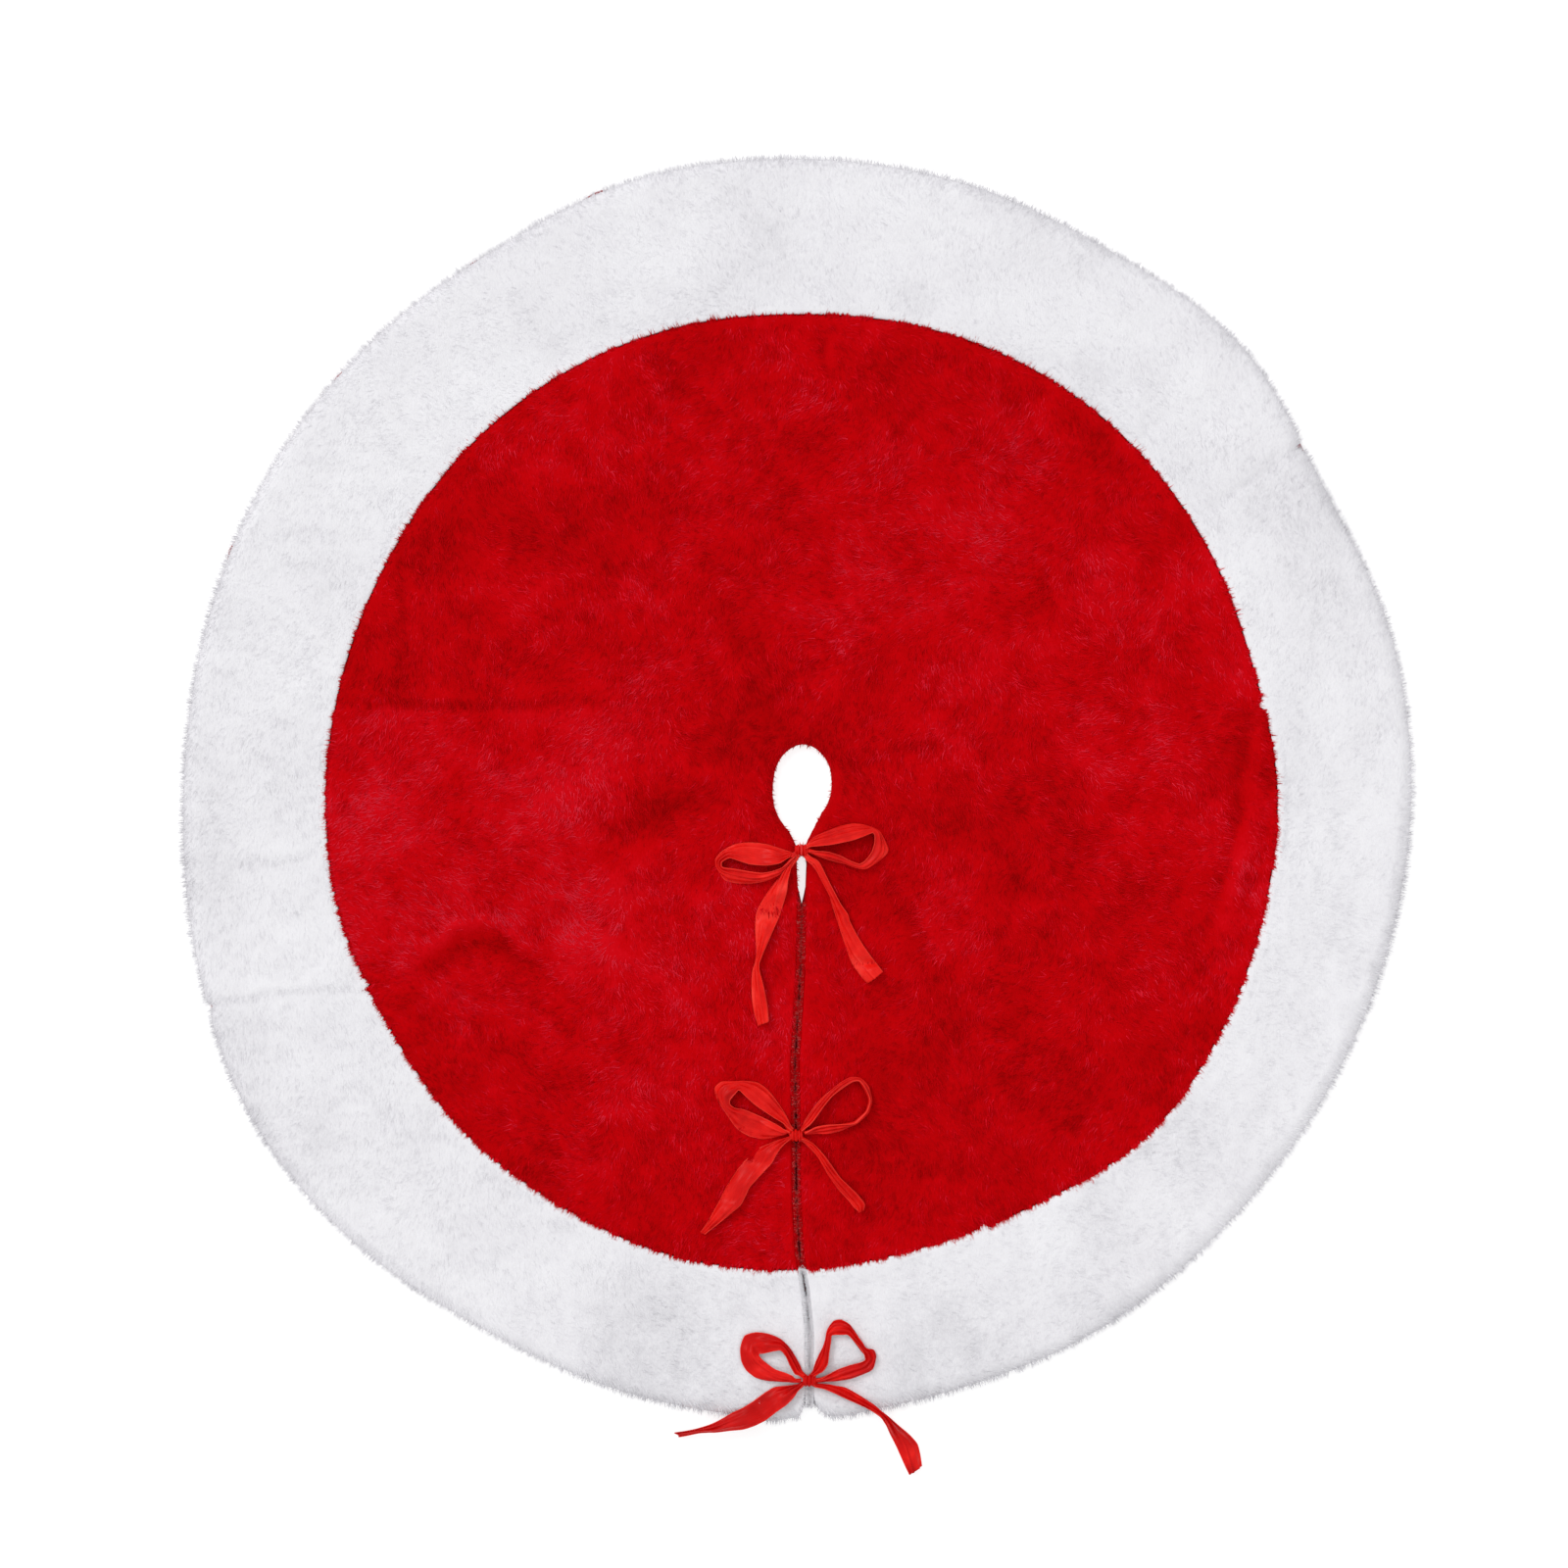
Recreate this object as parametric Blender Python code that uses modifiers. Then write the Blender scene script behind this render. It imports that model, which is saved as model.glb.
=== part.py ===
"""Round plush tree skirt, 48 inches across, laid flat on the floor.

A red plush disc with a tear-drop trunk opening and one slit down to the rim, a wide white
plush border pieced from three strips, a thin lining under both, and three satin ribbon bows
tied across the slit.

Frame: +Z up, z = 0 is the floor, the trunk opening's axis is the Z axis, the slit runs along -Y.
Units are metres; the ribbon and outline tables are in millimetres.
"""
import math

import bpy
from mathutils import Vector

MM = 0.001

# ---- driving dimensions -------------------------------------------------------------------
# Cut line of the rim and of the red disc: radius in mm every 15 degrees, from +X towards +Y.
RIM_MM = [600, 599, 593, 613, 609, 615, 618, 619, 608, 608, 607, 605,
          606, 616, 629, 626, 616, 618, 618, 610, 607, 599, 597, 598]
SEAM_MM = [465, 457, 461, 465, 467, 465, 462, 465, 466, 464, 460, 460,
           463, 466, 464, 469, 470, 473, 470, 464, 467, 479, 474, 468]

LINING_T = 1.2 * MM        # lining cloth
LINING_INSET = 7 * MM      # the lining stops short of the rim and of the openings
RED_PILE = 10.0 * MM       # backing and pile of the red plush
WHITE_PILE = 11.0 * MM     # backing and pile of the white border
GAP = 0.3 * MM             # air between pieces that touch
FOLD_GAP = 0.3 * MM        # between the back half and the flaps
SEAM_GAP = 1.9 * MM        # between red disc and border; the joining thread lies in it
THREAD_D = 1.2 * MM
EDGE_ROUND = 2.5 * MM      # rounding of the pile's edges
SLIT_HALF = 2.5 * MM       # half of the slit's width
CORNER_R = 13 * MM         # how far the rim rounds in at the slit
RIBBON_W = 22 * MM         # 7/8 inch satin ribbon
RIBBON_T = 0.8 * MM
KNOT_W, KNOT_L, KNOT_H = 12 * MM, 11 * MM, 7.5 * MM

# seams between the border strips, in degrees
SEAM_UPPER_RIGHT = 34.3
SEAM_LOWER_LEFT_OUT, SEAM_LOWER_LEFT_IN = 200.3, 204.9

Z_PLUSH = LINING_T + GAP
Z_RED = Z_PLUSH + RED_PILE
Z_WHITE = Z_PLUSH + WHITE_PILE
Z_FOLD = Z_WHITE + GAP     # height of the fold axis of the two front flaps

# Slit centre line: (y, x) in mm, from the trunk opening to the rim.
SLIT_MM = [(-40, 0.5), (-61, 0.8), (-115, 1), (-176, 0), (-244, -4), (-269, -5.5), (-340, -4.5),
           (-404, -4), (-455, -1), (-493, 5), (-529, 8.5), (-591, 8.5), (-640, 9)]
# Extra half-width of the slit just below the first bow: (y, extra) in mm.
WEDGE_MM = [(-61, 0), (-71, 2.2), (-81, 1.8), (-96, 0.8), (-112, 0), (-640, 0)]
# Trunk opening: (y, left x, right x) in mm.
OPENING_MM = [(42, 1, 3), (40.5, -5, 10), (37, -11, 16), (32, -16.5, 21), (22, -22.5, 27),
              (10, -25.5, 29.5), (0, -26.5, 29.5), (-12, -26, 27), (-24, -23, 20),
              (-34, -17.5, 15), (-42, -11, 11), (-50, -7, 7), (-56, -4.5, 4.5)]

COLOURS = {
    "lining": ((0.42, 0.02, 0.03, 1), 0.85),
    "red_plush": ((0.50, 0.003, 0.006, 1), 0.9),
    "white_plush": ((0.80, 0.80, 0.82, 1), 0.95),
    "thread": ((0.55, 0.02, 0.03, 1), 0.7),
    "satin_ribbon": ((0.75, 0.02, 0.012, 1), 0.38),
}


# ---- helpers ------------------------------------------------------------------------------
def clear_scene():
    for ob in list(bpy.data.objects):
        bpy.data.objects.remove(ob, do_unlink=True)


def material(name):
    mat = bpy.data.materials.get(name)
    if mat is None:
        colour, rough = COLOURS[name]
        mat = bpy.data.materials.new(name)
        mat.use_nodes = True
        bsdf = mat.node_tree.nodes["Principled BSDF"]
        bsdf.inputs["Base Color"].default_value = colour
        bsdf.inputs["Roughness"].default_value = rough
        bsdf.inputs["Metallic"].default_value = 0.0
    return mat


def ring_value(table, deg):
    """Smooth closed curve through a table of values at equal steps of angle."""
    n = len(table)
    t = (deg % 360.0) / (360.0 / n)
    i = int(math.floor(t))
    f = t - i
    p0, p1, p2, p3 = (table[(i + k) % n] for k in (-1, 0, 1, 2))
    return 0.5 * (2 * p1 + (p2 - p0) * f + (2 * p0 - 5 * p1 + 4 * p2 - p3) * f * f
                  + (3 * p1 - p0 - 3 * p2 + p3) * f ** 3)


def along(table, y, col=1):
    """Straight-line reading of a table whose first column falls from top to bottom."""
    if y >= table[0][0]:
        return table[0][col]
    for a, b in zip(table, table[1:]):
        if y >= b[0]:
            return a[col] + (b[col] - a[col]) * (a[0] - y) / (a[0] - b[0])
    return table[-1][col]


def rim_radius(deg):
    """Rim radius in metres, drawn in to a round corner on each side of the slit."""
    r = ring_value(RIM_MM, deg) * MM
    slit = 270.0 + math.degrees(along(SLIT_MM, -600) * MM / r)
    off = math.radians(abs(((deg - slit + 180) % 360) - 180)) * r
    return r - CORNER_R * math.exp(-((off / (10 * MM)) ** 2))


def seam_radius(deg):
    return ring_value(SEAM_MM, deg) * MM


def polar(r, deg):
    return Vector((r * math.cos(math.radians(deg)), r * math.sin(math.radians(deg))))


def arc(radius, start, end, step=4.0, shift=0.0):
    n = max(2, int(round(abs(end - start) / step)) + 1)
    out = []
    for i in range(n):
        d = start + (end - start) * i / (n - 1)
        out.append(polar(radius(d) + shift, d))
    return out


def slit_edge(side, y, shift=0.0):
    """x of the slit's edge; side is -1 for the left flap and +1 for the right."""
    mm = along(SLIT_MM, y / MM) + side * along(WEDGE_MM, y / MM)
    return mm * MM + side * (SLIT_HALF + shift)


def slit_line(side, y_top, y_bottom, shift=0.0, step=36 * MM):
    n = max(2, int(math.ceil((y_top - y_bottom) / step)) + 1)
    ys = [y_top + (y_bottom - y_top) * i / (n - 1) for i in range(n)]
    return [Vector((slit_edge(side, y, shift), y)) for y in ys]


def opening_line(side, y_from, y_to, shift=0.0):
    """Edge of the trunk opening on one side, from y_from down to y_to (metres)."""
    col = 1 if side < 0 else 2
    ys = [y_from] + [r[0] * MM for r in OPENING_MM if y_to < r[0] * MM < y_from] + [y_to]
    return [Vector((along(OPENING_MM, y / MM, col) * MM + side * shift, y)) for y in ys]


def angle_on_circle(radius, x):
    """Angle near 270 degrees where a ring of this radius passes x."""
    deg = 270.0
    for _ in range(6):
        deg = 270.0 + math.degrees(math.asin(max(-1, min(1, x / radius(deg)))))
    return deg


def slab(name, points, z_low, thick, mat, empty=None, round_edges=True):
    """A flat outline, extruded to its thickness, with its edges rounded."""
    cu = bpy.data.curves.new(name, "CURVE")
    cu.dimensions = "2D"
    cu.fill_mode = "BOTH"
    cu.extrude = thick / 2
    sp = cu.splines.new("POLY")
    sp.points.add(len(points) - 1)
    for p, v in zip(sp.points, points):
        p.co = (v[0], v[1], 0.0, 1.0)
    sp.use_cyclic_u = True
    ob = bpy.data.objects.new(name, cu)
    parts.objects.link(ob)
    ob.location = (0, 0, z_low + thick / 2)
    cu.materials.append(mat)
    weld = ob.modifiers.new("Weld", "WELD")
    weld.merge_threshold = 0.00001
    if round_edges:
        bev = ob.modifiers.new("Round", "BEVEL")
        bev.width = EDGE_ROUND
        bev.segments = 1
        bev.limit_method = "ANGLE"
        bev.angle_limit = math.radians(60)
    attach(ob, empty)
    return ob


def attach(ob, empty):
    if empty is not None:
        ob.location = Vector(ob.location) - Vector(empty.location)
        ob.parent = empty


def thread(name, start, end, mat, empty=None):
    """The joining thread of disc and border, lying in the seam between them."""
    cu = bpy.data.curves.new(name, "CURVE")
    cu.dimensions = "3D"
    cu.bevel_depth = THREAD_D / 2
    cu.bevel_resolution = 0
    cu.use_fill_caps = True
    pts = arc(seam_radius, start, end, 4.0)
    sp = cu.splines.new("POLY")
    sp.points.add(len(pts) - 1)
    for p, v in zip(sp.points, pts):
        p.co = (v.x, v.y, 0, 1)
    ob = bpy.data.objects.new(name, cu)
    parts.objects.link(ob)
    ob.location = (0, 0, Z_PLUSH + 2.0 * MM)
    cu.materials.append(mat)
    attach(ob, empty)
    return ob


def strip(name, edge_a, edge_b, origin, mat, empty=None, thick=RIBBON_T):
    """A ribbon: a ruled strip between two edge lines, given its thickness by Solidify."""
    verts = [v - origin for pair in zip(edge_a, edge_b) for v in pair]
    faces = [(2 * i, 2 * i + 2, 2 * i + 3, 2 * i + 1) for i in range(len(edge_a) - 1)]
    me = bpy.data.meshes.new(name)
    me.from_pydata([tuple(v) for v in verts], [], faces)
    me.materials.append(mat)
    me.shade_smooth()
    ob = bpy.data.objects.new(name, me)
    parts.objects.link(ob)
    ob.location = origin
    sol = ob.modifiers.new("Solidify", "SOLIDIFY")
    sol.thickness = thick
    sol.offset = 0.0
    attach(ob, empty)
    return ob


def ribbon_edges(stations, centre, z_rest, loop, drape=None):
    """Edge lines of a ribbon from plan stations (outer x, y, inner x, y) in mm round the knot.

    Where the plan width is less than the ribbon's, the ribbon is tilted and its inner edge
    stands up; near the knot it is gathered, so it is narrower there.
    """
    a, b = [], []
    n = len(stations)
    for i, (ox, oy, ix, iy) in enumerate(stations):
        o = Vector((ox, oy)) * MM
        q = Vector((ix, iy)) * MM
        mid = (o + q) / 2
        reach = mid.length
        width = min(RIBBON_W, 6 * MM + 0.75 * max(0.0, reach - 8 * MM))
        plan = (o - q).length
        lift = math.sqrt(max(0.0, width * width - plan * plan))
        lift = min(lift, (13 if loop else 8) * MM)
        rise = 2.2 * MM * math.exp(-reach / (12 * MM))
        low = z_rest + 0.9 * MM + rise
        low_a, low_b = low, low + lift
        if drape is not None:
            low_a, low_b = drape(centre + o, low_a), drape(centre + q, low_b)
        a.append(Vector((centre.x + o.x, centre.y + o.y, low_a)))
        b.append(Vector((centre.x + q.x, centre.y + q.y, low_b)))
    return a, b


def hinge_of(a, b, centre):
    """Lift axis of a loop or tail: at its root beside the knot, level with the root's top."""
    roots = [a[0], b[0]]
    top = max(v.z for v in roots)
    mid = (roots[0] + roots[1]) / 2
    return Vector((mid.x, mid.y, top + 0.5 * MM))


# ---- the ribbons' plan shapes, mm from each knot: outer edge x, y, inner edge x, y ----------
BOWS = {
    "bow1": {"knot": (0.8, -60.7), "top": "red",
        "left_loop": [(-8.5, -3, -9, -6), (-19, 0.5, -20.5, -13), (-33.5, 5.5, -33.5, -15),
            (-49.5, 7.5, -49.5, -14), (-64.5, 5.5, -61.5, -10.5), (-77, -1, -70, -8),
            (-84, -9, -77, -11.5), (-83, -16, -77.5, -15.5), (-79.5, -23, -74.5, -17),
            (-74.5, -29.5, -64.5, -18), (-63, -32, -49.5, -20.5), (-49.5, -32, -39.5, -21.5),
            (-36.5, -29.5, -30.5, -20), (-25, -24.5, -21, -16.5), (-17, -17, -15.5, -12.5),
            (-11.5, -10, -10.5, -8)],
        "right_loop": [(7.5, 6, 8, 3.5), (13, 12.5, 16, 4), (25, 18.5, 28, 5), (38, 23, 39.5, 7),
            (49.5, 25.5, 51, 9.5), (60, 24.5, 60.5, 13), (68, 21, 69, 16.5), (75.5, 17.5, 71, 14),
            (81, 9.5, 71, 7), (84.5, 0.5, 68.5, -1), (82, -4.5, 65, -6.5), (74.5, -10.5, 60.5, -11),
            (66.5, -15.5, 55.5, -13), (55.5, -16, 48.5, -10), (42.5, -12.5, 38, -4.5),
            (28, -9, 26.5, -0.5), (17, -5, 17.5, 0.5), (9, -1.5, 9.5, 0)],
        "left_tail": [(-7, -8, -4, -9.5), (-11, -14, -8, -15), (-16, -21, -10, -21.5),
            (-24, -30, -12.5, -29.5), (-33, -41.5, -14, -40), (-41, -54, -17.5, -52),
            (-44.5, -63.5, -21.5, -64.5), (-45, -76, -26.5, -76), (-44, -89, -32, -89),
            (-43.5, -101, -37.5, -102.5), (-44.5, -109.5, -40, -110), (-47, -118.5, -40, -117),
            (-48, -128.5, -37.5, -127.5), (-48, -143.5, -34.5, -142), (-46, -157.5, -32.5, -155),
            (-42, -171.5, -31.5, -167)],
        "right_tail": [(5.5, -9, 9, -7), (11, -14, 16, -11), (16, -20.5, 21, -19), (20, -28, 25, -27),
            (25, -36.5, 29.5, -36), (28, -44, 34, -44), (30.5, -52.5, 39.5, -53.5),
            (33.5, -63, 45.5, -62), (36, -70, 47.5, -69), (39.5, -82, 54, -82),
            (43, -93.5, 60.5, -93), (46, -102.5, 66, -101), (50, -112, 72.5, -109.5),
            (57, -121.5, 76, -114), (64.5, -130, 79.5, -118.5)]},
    "bow2": {"knot": (-3.7, -338.8), "top": "red",
        "left_loop": [(-7.5, 10, -10, 8), (-11, 18.5, -14, 12), (-16.5, 28, -23, 17.5),
            (-23, 37.5, -32.5, 24), (-30, 45.5, -41.5, 30.5), (-38.5, 51, -50, 38),
            (-49.5, 52, -56.5, 44), (-62, 52, -59, 42), (-73.5, 52, -62, 38.5), (-80, 46, -65, 34.5),
            (-77.5, 36, -64.5, 30.5), (-71, 25, -60, 27.5), (-64, 14, -52, 26), (-57, 5, -44, 22.5),
            (-46.5, -1, -35, 18.5), (-35, -3.5, -26, 14.5), (-25, -2.5, -17.5, 10),
            (-14.5, 1.5, -12, 6), (-9.5, 3.5, -9, 5)],
        "right_loop": [(6.5, 10, 9.5, 7.5), (8.5, 14.5, 13, 10), (14.5, 23.5, 20, 18.5),
            (22.5, 33.5, 27.5, 29), (31.5, 42, 36, 39), (41.5, 50, 45.5, 47), (52, 55, 54, 52.5),
            (61, 54.5, 60.5, 52.5), (68, 46, 66, 45), (71.5, 34, 70, 34), (69, 23.5, 67.5, 24.5),
            (64, 17.5, 62.5, 18.5), (57, 11.5, 56.5, 13), (43, 5, 43, 12), (29, 1.5, 30, 11),
            (17.5, 1.5, 18.5, 8.5), (10, 2.5, 10.5, 4.5)],
        "left_tail": [(-9.5, -3, -7.5, -5.5), (-17.5, -5, -12, -9), (-26, -8, -16, -13),
            (-35, -11.5, -20, -19), (-43, -16.5, -24.5, -27), (-50.5, -24.5, -31.5, -34.5),
            (-57, -32.5, -38.5, -42), (-64, -43, -46, -50.5), (-70, -53, -50, -59),
            (-75.5, -64, -55, -68), (-81.5, -75, -64.5, -76), (-87.5, -86, -75, -85),
            (-94, -95.5, -89, -96.5)],
        "right_tail": [(7, -5.5, 9.5, -3), (12, -10.5, 18, -8), (20, -20, 26, -17.5),
            (27, -31.5, 35, -29.5), (34, -42, 43, -40.5), (41.5, -53, 51, -48.5),
            (50, -62.5, 59.5, -57), (56.5, -70.5, 66.5, -66), (62, -74.5, 66, -72.5)]},
    "bow3": {"knot": (7.1, -577.3), "top": "white",
        "left_loop": [(-6, 8.5, -9, 5), (-8, 14, -13, 6.5), (-13.5, 24, -17.5, 14),
            (-19, 32, -21.5, 23), (-27.5, 40, -27, 29), (-38, 44.5, -35.5, 28), (-50.5, 46.5, -43.5, 26),
            (-62, 43, -47.5, 25.5), (-66, 31, -47, 23), (-65, 18.5, -43.5, 19.5),
            (-60.5, 9.5, -39.5, 16), (-51.5, 2.5, -32, 11), (-40, -0.5, -23, 8), (-25.5, -1, -15.5, 5.5),
            (-14.5, -0.5, -12, 2.5), (-9.5, -0.5, -9, 1.5)],
        "right_loop": [(5.5, 8.5, 9, 5.5), (7.5, 16, 15, 9), (11.5, 25, 19.5, 16), (16, 33.5, 21, 27.5),
            (18.5, 41.5, 22.5, 37), (20, 49.5, 23, 43.5), (25, 57, 26.5, 44.5), (32, 58.5, 32.5, 44.5),
            (40, 54, 38.5, 44.5), (47, 44, 43.5, 39.5), (52, 35.5, 49, 33.5), (55.5, 29.5, 53, 28),
            (63.5, 29, 55, 24), (66, 23, 55.5, 20), (63, 11, 50.5, 17.5), (54, 6, 40, 15),
            (41.5, 1.5, 29, 11), (27.5, -0.5, 20.5, 6.5), (17, -0.5, 15.5, 3.5), (9.5, -0.5, 10, 1.5)],
        "left_tail": [(-9, -4.5, -7, -8), (-15, -5.5, -10, -11), (-24, -6, -14, -17),
            (-33.5, -7.5, -21, -24), (-43.5, -13.5, -31, -31), (-53, -20.5, -40.5, -39),
            (-63.5, -27.5, -51.5, -44), (-73.5, -32, -63, -48), (-83, -37.5, -77, -49.5),
            (-94.5, -43.5, -91, -51.5), (-108.5, -49, -104.5, -52.5), (-121, -52.5, -116.5, -55.5),
            (-130.5, -54.5, -125.5, -57.5)],
        "right_tail": [(9.5, -4.5, 7.5, -7), (20.5, -5.5, 16, -9), (35.5, -7.5, 26.5, -13),
            (45, -12.5, 38, -18.5), (55.5, -19, 50.5, -24.5), (65.5, -26, 62, -30),
            (72.5, -32, 70, -35.5), (80.5, -38, 75.5, -44), (90, -47, 80.5, -55), (100, -56.5, 86.5, -67),
            (107, -64.5, 91.5, -78), (109.5, -73.5, 95, -86), (111.5, -86, 99, -94.5)]},
}


def drape_over_rim(point, low):
    """Past the rim a tail comes down from the pile to the floor."""
    deg = math.degrees(math.atan2(point.y, point.x))
    past = Vector((point.x, point.y)).length - ring_value(RIM_MM, deg) * MM
    t = min(1.0, max(0.0, (past - 1 * MM) / (30 * MM)))
    s = t * t * (3 - 2 * t)
    return low - (Z_WHITE + 0.2 * MM) * s


def build():
    lining, red, white = material("lining"), material("red_plush"), material("white_plush")
    thread_mat, satin = material("thread"), material("satin_ribbon")
    g = FOLD_GAP / 2

    folds = {}
    for side in ("left", "right"):
        e = bpy.data.objects.new(side + "_flap_fold_axis", None)
        parts.objects.link(e)
        e.location = (0, 0, Z_FOLD)
        e.empty_display_size = 0.05
        folds[side] = e

    half = SEAM_GAP / 2

    # lining: the back half and one piece for each front flap
    def lining_rim(d):
        return ring_value(RIM_MM, d) * MM - LINING_INSET

    def fold_angle(r, sign, right):
        a = math.degrees(math.asin(g / r))
        return (a if right else 180 - a) if sign > 0 else (360 - a if right else 180 + a)

    def back_outline(radius, shift, hole_shift):
        pts = arc(radius, fold_angle(0.6, 1, True), fold_angle(0.6, 1, False), 4.0, shift)
        pts = [Vector((p.x, max(p.y, g))) for p in pts]
        pts[0].y = pts[-1].y = g
        left = opening_line(-1, 42 * MM + hole_shift, g, hole_shift)
        right = opening_line(1, 42 * MM + hole_shift, g, hole_shift)
        return pts + left[::-1] + right

    def flap_outline(side, radius, shift, hole_shift, slit_shift):
        knot_y = -58 * MM
        op = opening_line(side, -g, knot_y + 2 * MM, hole_shift)
        x_end = slit_edge(side, -0.6, slit_shift)
        end = angle_on_circle(lambda d: radius(d) + shift, x_end)
        if side < 0:
            rim = arc(radius, end, fold_angle(0.6, -1, False), 4.0, shift)
        else:
            rim = arc(radius, end, fold_angle(0.6, -1, True), 4.0, shift)
        rim[-1].y = -g
        slit = slit_line(side, knot_y, rim[0].y + 12 * MM, slit_shift)
        return op + slit + rim

    slab("lining_back", back_outline(lining_rim, 0, 3 * MM), 0, LINING_T, lining, None, False)
    for side, name in ((-1, "left"), (1, "right")):
        slab("lining_" + name + "_flap", flap_outline(side, lining_rim, 0, 3 * MM, 1 * MM), 0,
             LINING_T, lining, folds[name], False)

    # red plush disc
    slab("red_plush_back", back_outline(seam_radius, -half, 0), Z_PLUSH, RED_PILE, red)
    for side, name in ((-1, "left"), (1, "right")):
        slab("red_plush_" + name + "_flap", flap_outline(side, seam_radius, -half, 0, 0), Z_PLUSH,
             RED_PILE, red, folds[name])

    # white border, pieced from three strips and split once more at the fold
    def band(name, out_start, out_end, in_start, in_end, empty=None, flat=None, slit=0):
        gap_deg = math.degrees(GAP / 2 / 0.6)
        o = arc(rim_radius, out_start + gap_deg, out_end - gap_deg, 4.0)
        i = arc(seam_radius, in_start + gap_deg, in_end - gap_deg, 4.0, half)
        if slit:
            # finer points round the corner at the slit
            s = out_start if slit > 0 else out_end
            inner_end = i[0] if slit > 0 else i[-1]
            corner = [s + slit * k for k in (0, 0.6, 1.2, 1.9, 2.8)]
            near = 3.2
            rest = arc(rim_radius, s + slit * 4.2, out_end - gap_deg if slit > 0 else out_start + gap_deg, 4.0)
            cpts = [polar(rim_radius(d), d) for d in corner]
            side = 1 if slit > 0 else -1
            cpts[0] = Vector((slit_edge(side, cpts[0].y), cpts[0].y))
            o = cpts + rest
            if slit < 0:
                o = o[::-1]
            line = slit_line(side, inner_end.y - 6 * MM, cpts[0].y + 14 * MM)
            inner_end.x = slit_edge(side, inner_end.y)
            line = [inner_end.copy()] + line
            if slit > 0:
                i = i[1:]
                pts = line + o + i[::-1]
            else:
                i = i[:-1]
                pts = o + line[::-1] + i[::-1]
        else:
            pts = o + i[::-1]
        if flat is not None:
            for p in pts:
                if abs(p.y) < 1.5 * MM:
                    p.y = flat
        slab(name, pts, Z_PLUSH, WHITE_PILE, white, empty)

    slit_out = angle_on_circle(rim_radius, slit_edge(1, -0.6))
    slit_in = angle_on_circle(lambda d: seam_radius(d) + half, slit_edge(1, -0.47))
    band("white_border_back_right", 0, SEAM_UPPER_RIGHT, 0, SEAM_UPPER_RIGHT, None, g)
    band("white_border_back", SEAM_UPPER_RIGHT, 180, SEAM_UPPER_RIGHT, 180, None, g)
    band("white_border_left_upper", 180, SEAM_LOWER_LEFT_OUT, 180, SEAM_LOWER_LEFT_IN, folds["left"], -g)
    left_out = angle_on_circle(rim_radius, slit_edge(-1, -0.6))
    left_in = angle_on_circle(lambda d: seam_radius(d) + half, slit_edge(-1, -0.47))
    band("white_border_left_lower", SEAM_LOWER_LEFT_OUT, left_out, SEAM_LOWER_LEFT_IN, left_in,
         folds["left"], None, -1)
    band("white_border_right", slit_out, 360, slit_in, 360, folds["right"], -g, 1)

    # thread of the seam that joins disc and border
    thread("border_seam_thread_back", 0.4, 179.6, thread_mat)
    thread("border_seam_thread_left_flap", 180.4, left_in - 0.5, thread_mat, folds["left"])
    thread("border_seam_thread_right_flap", slit_in + 0.5, 359.6, thread_mat, folds["right"])

    # bows
    for bow, data in BOWS.items():
        cx, cy = (v * MM for v in data["knot"])
        centre = Vector((cx, cy))
        z_top = Z_RED if data["top"] == "red" else Z_WHITE
        slit_x = along(SLIT_MM, cy / MM) * MM
        z_knot = z_top + GAP
        for side, name in ((-1, "left"), (1, "right")):
            fold = folds[name]
            # sewn end: stands in the slit against the flap's edge and leans in under the knot
            edge = slit_edge(side, cy)
            line = [(edge - side * (GAP + 0.5 * MM), Z_PLUSH + 1.5 * MM, 8 * MM),
                    (edge - side * (GAP + 0.55 * MM), z_top - 4 * MM, 7 * MM),
                    (slit_x + side * 1.3 * MM, z_top - 1.6 * MM, 5.5 * MM),
                    (slit_x + side * 0.8 * MM, z_knot - 0.5 * MM, 4 * MM)]
            a = [Vector((x, cy + h, z)) for x, z, h in line]
            b = [Vector((x, cy - h, z)) for x, z, h in line]
            strip(f"{bow}_{name}_sewn_end", a, b, Vector((edge, cy, Z_PLUSH)), satin, fold)

            # half of the knot on this side of the slit
            bpy.ops.mesh.primitive_cube_add(size=1.0)
            kn = bpy.context.active_object
            for c in list(kn.users_collection):
                c.objects.unlink(kn)
            parts.objects.link(kn)
            kn.name = kn.data.name = f"{bow}_{name}_knot_half"
            w = KNOT_W / 2 - GAP
            for v in kn.data.vertices:
                v.co = Vector((v.co.x * w, v.co.y * KNOT_L, v.co.z * KNOT_H))
            kn.location = (slit_x + side * (GAP + w / 2), cy, z_knot + KNOT_H / 2)
            bev = kn.modifiers.new("Round", "BEVEL")
            bev.width = 1.8 * MM
            bev.segments = 2
            kn.data.materials.append(satin)
            attach(kn, fold)

            for kind in ("loop", "tail"):
                st = data[f"{name}_{kind}"]
                drape = drape_over_rim if (bow == "bow3" and kind == "tail") else None
                a, b = ribbon_edges(st, centre, z_top, kind == "loop", drape)
                pivot = hinge_of(a, b, centre)
                strip(f"{bow}_{name}_{kind}", a, b, pivot, satin, fold)


clear_scene()
parts = bpy.data.collections.new("tree_skirt")
bpy.context.scene.collection.children.link(parts)
build()
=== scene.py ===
import math

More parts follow.
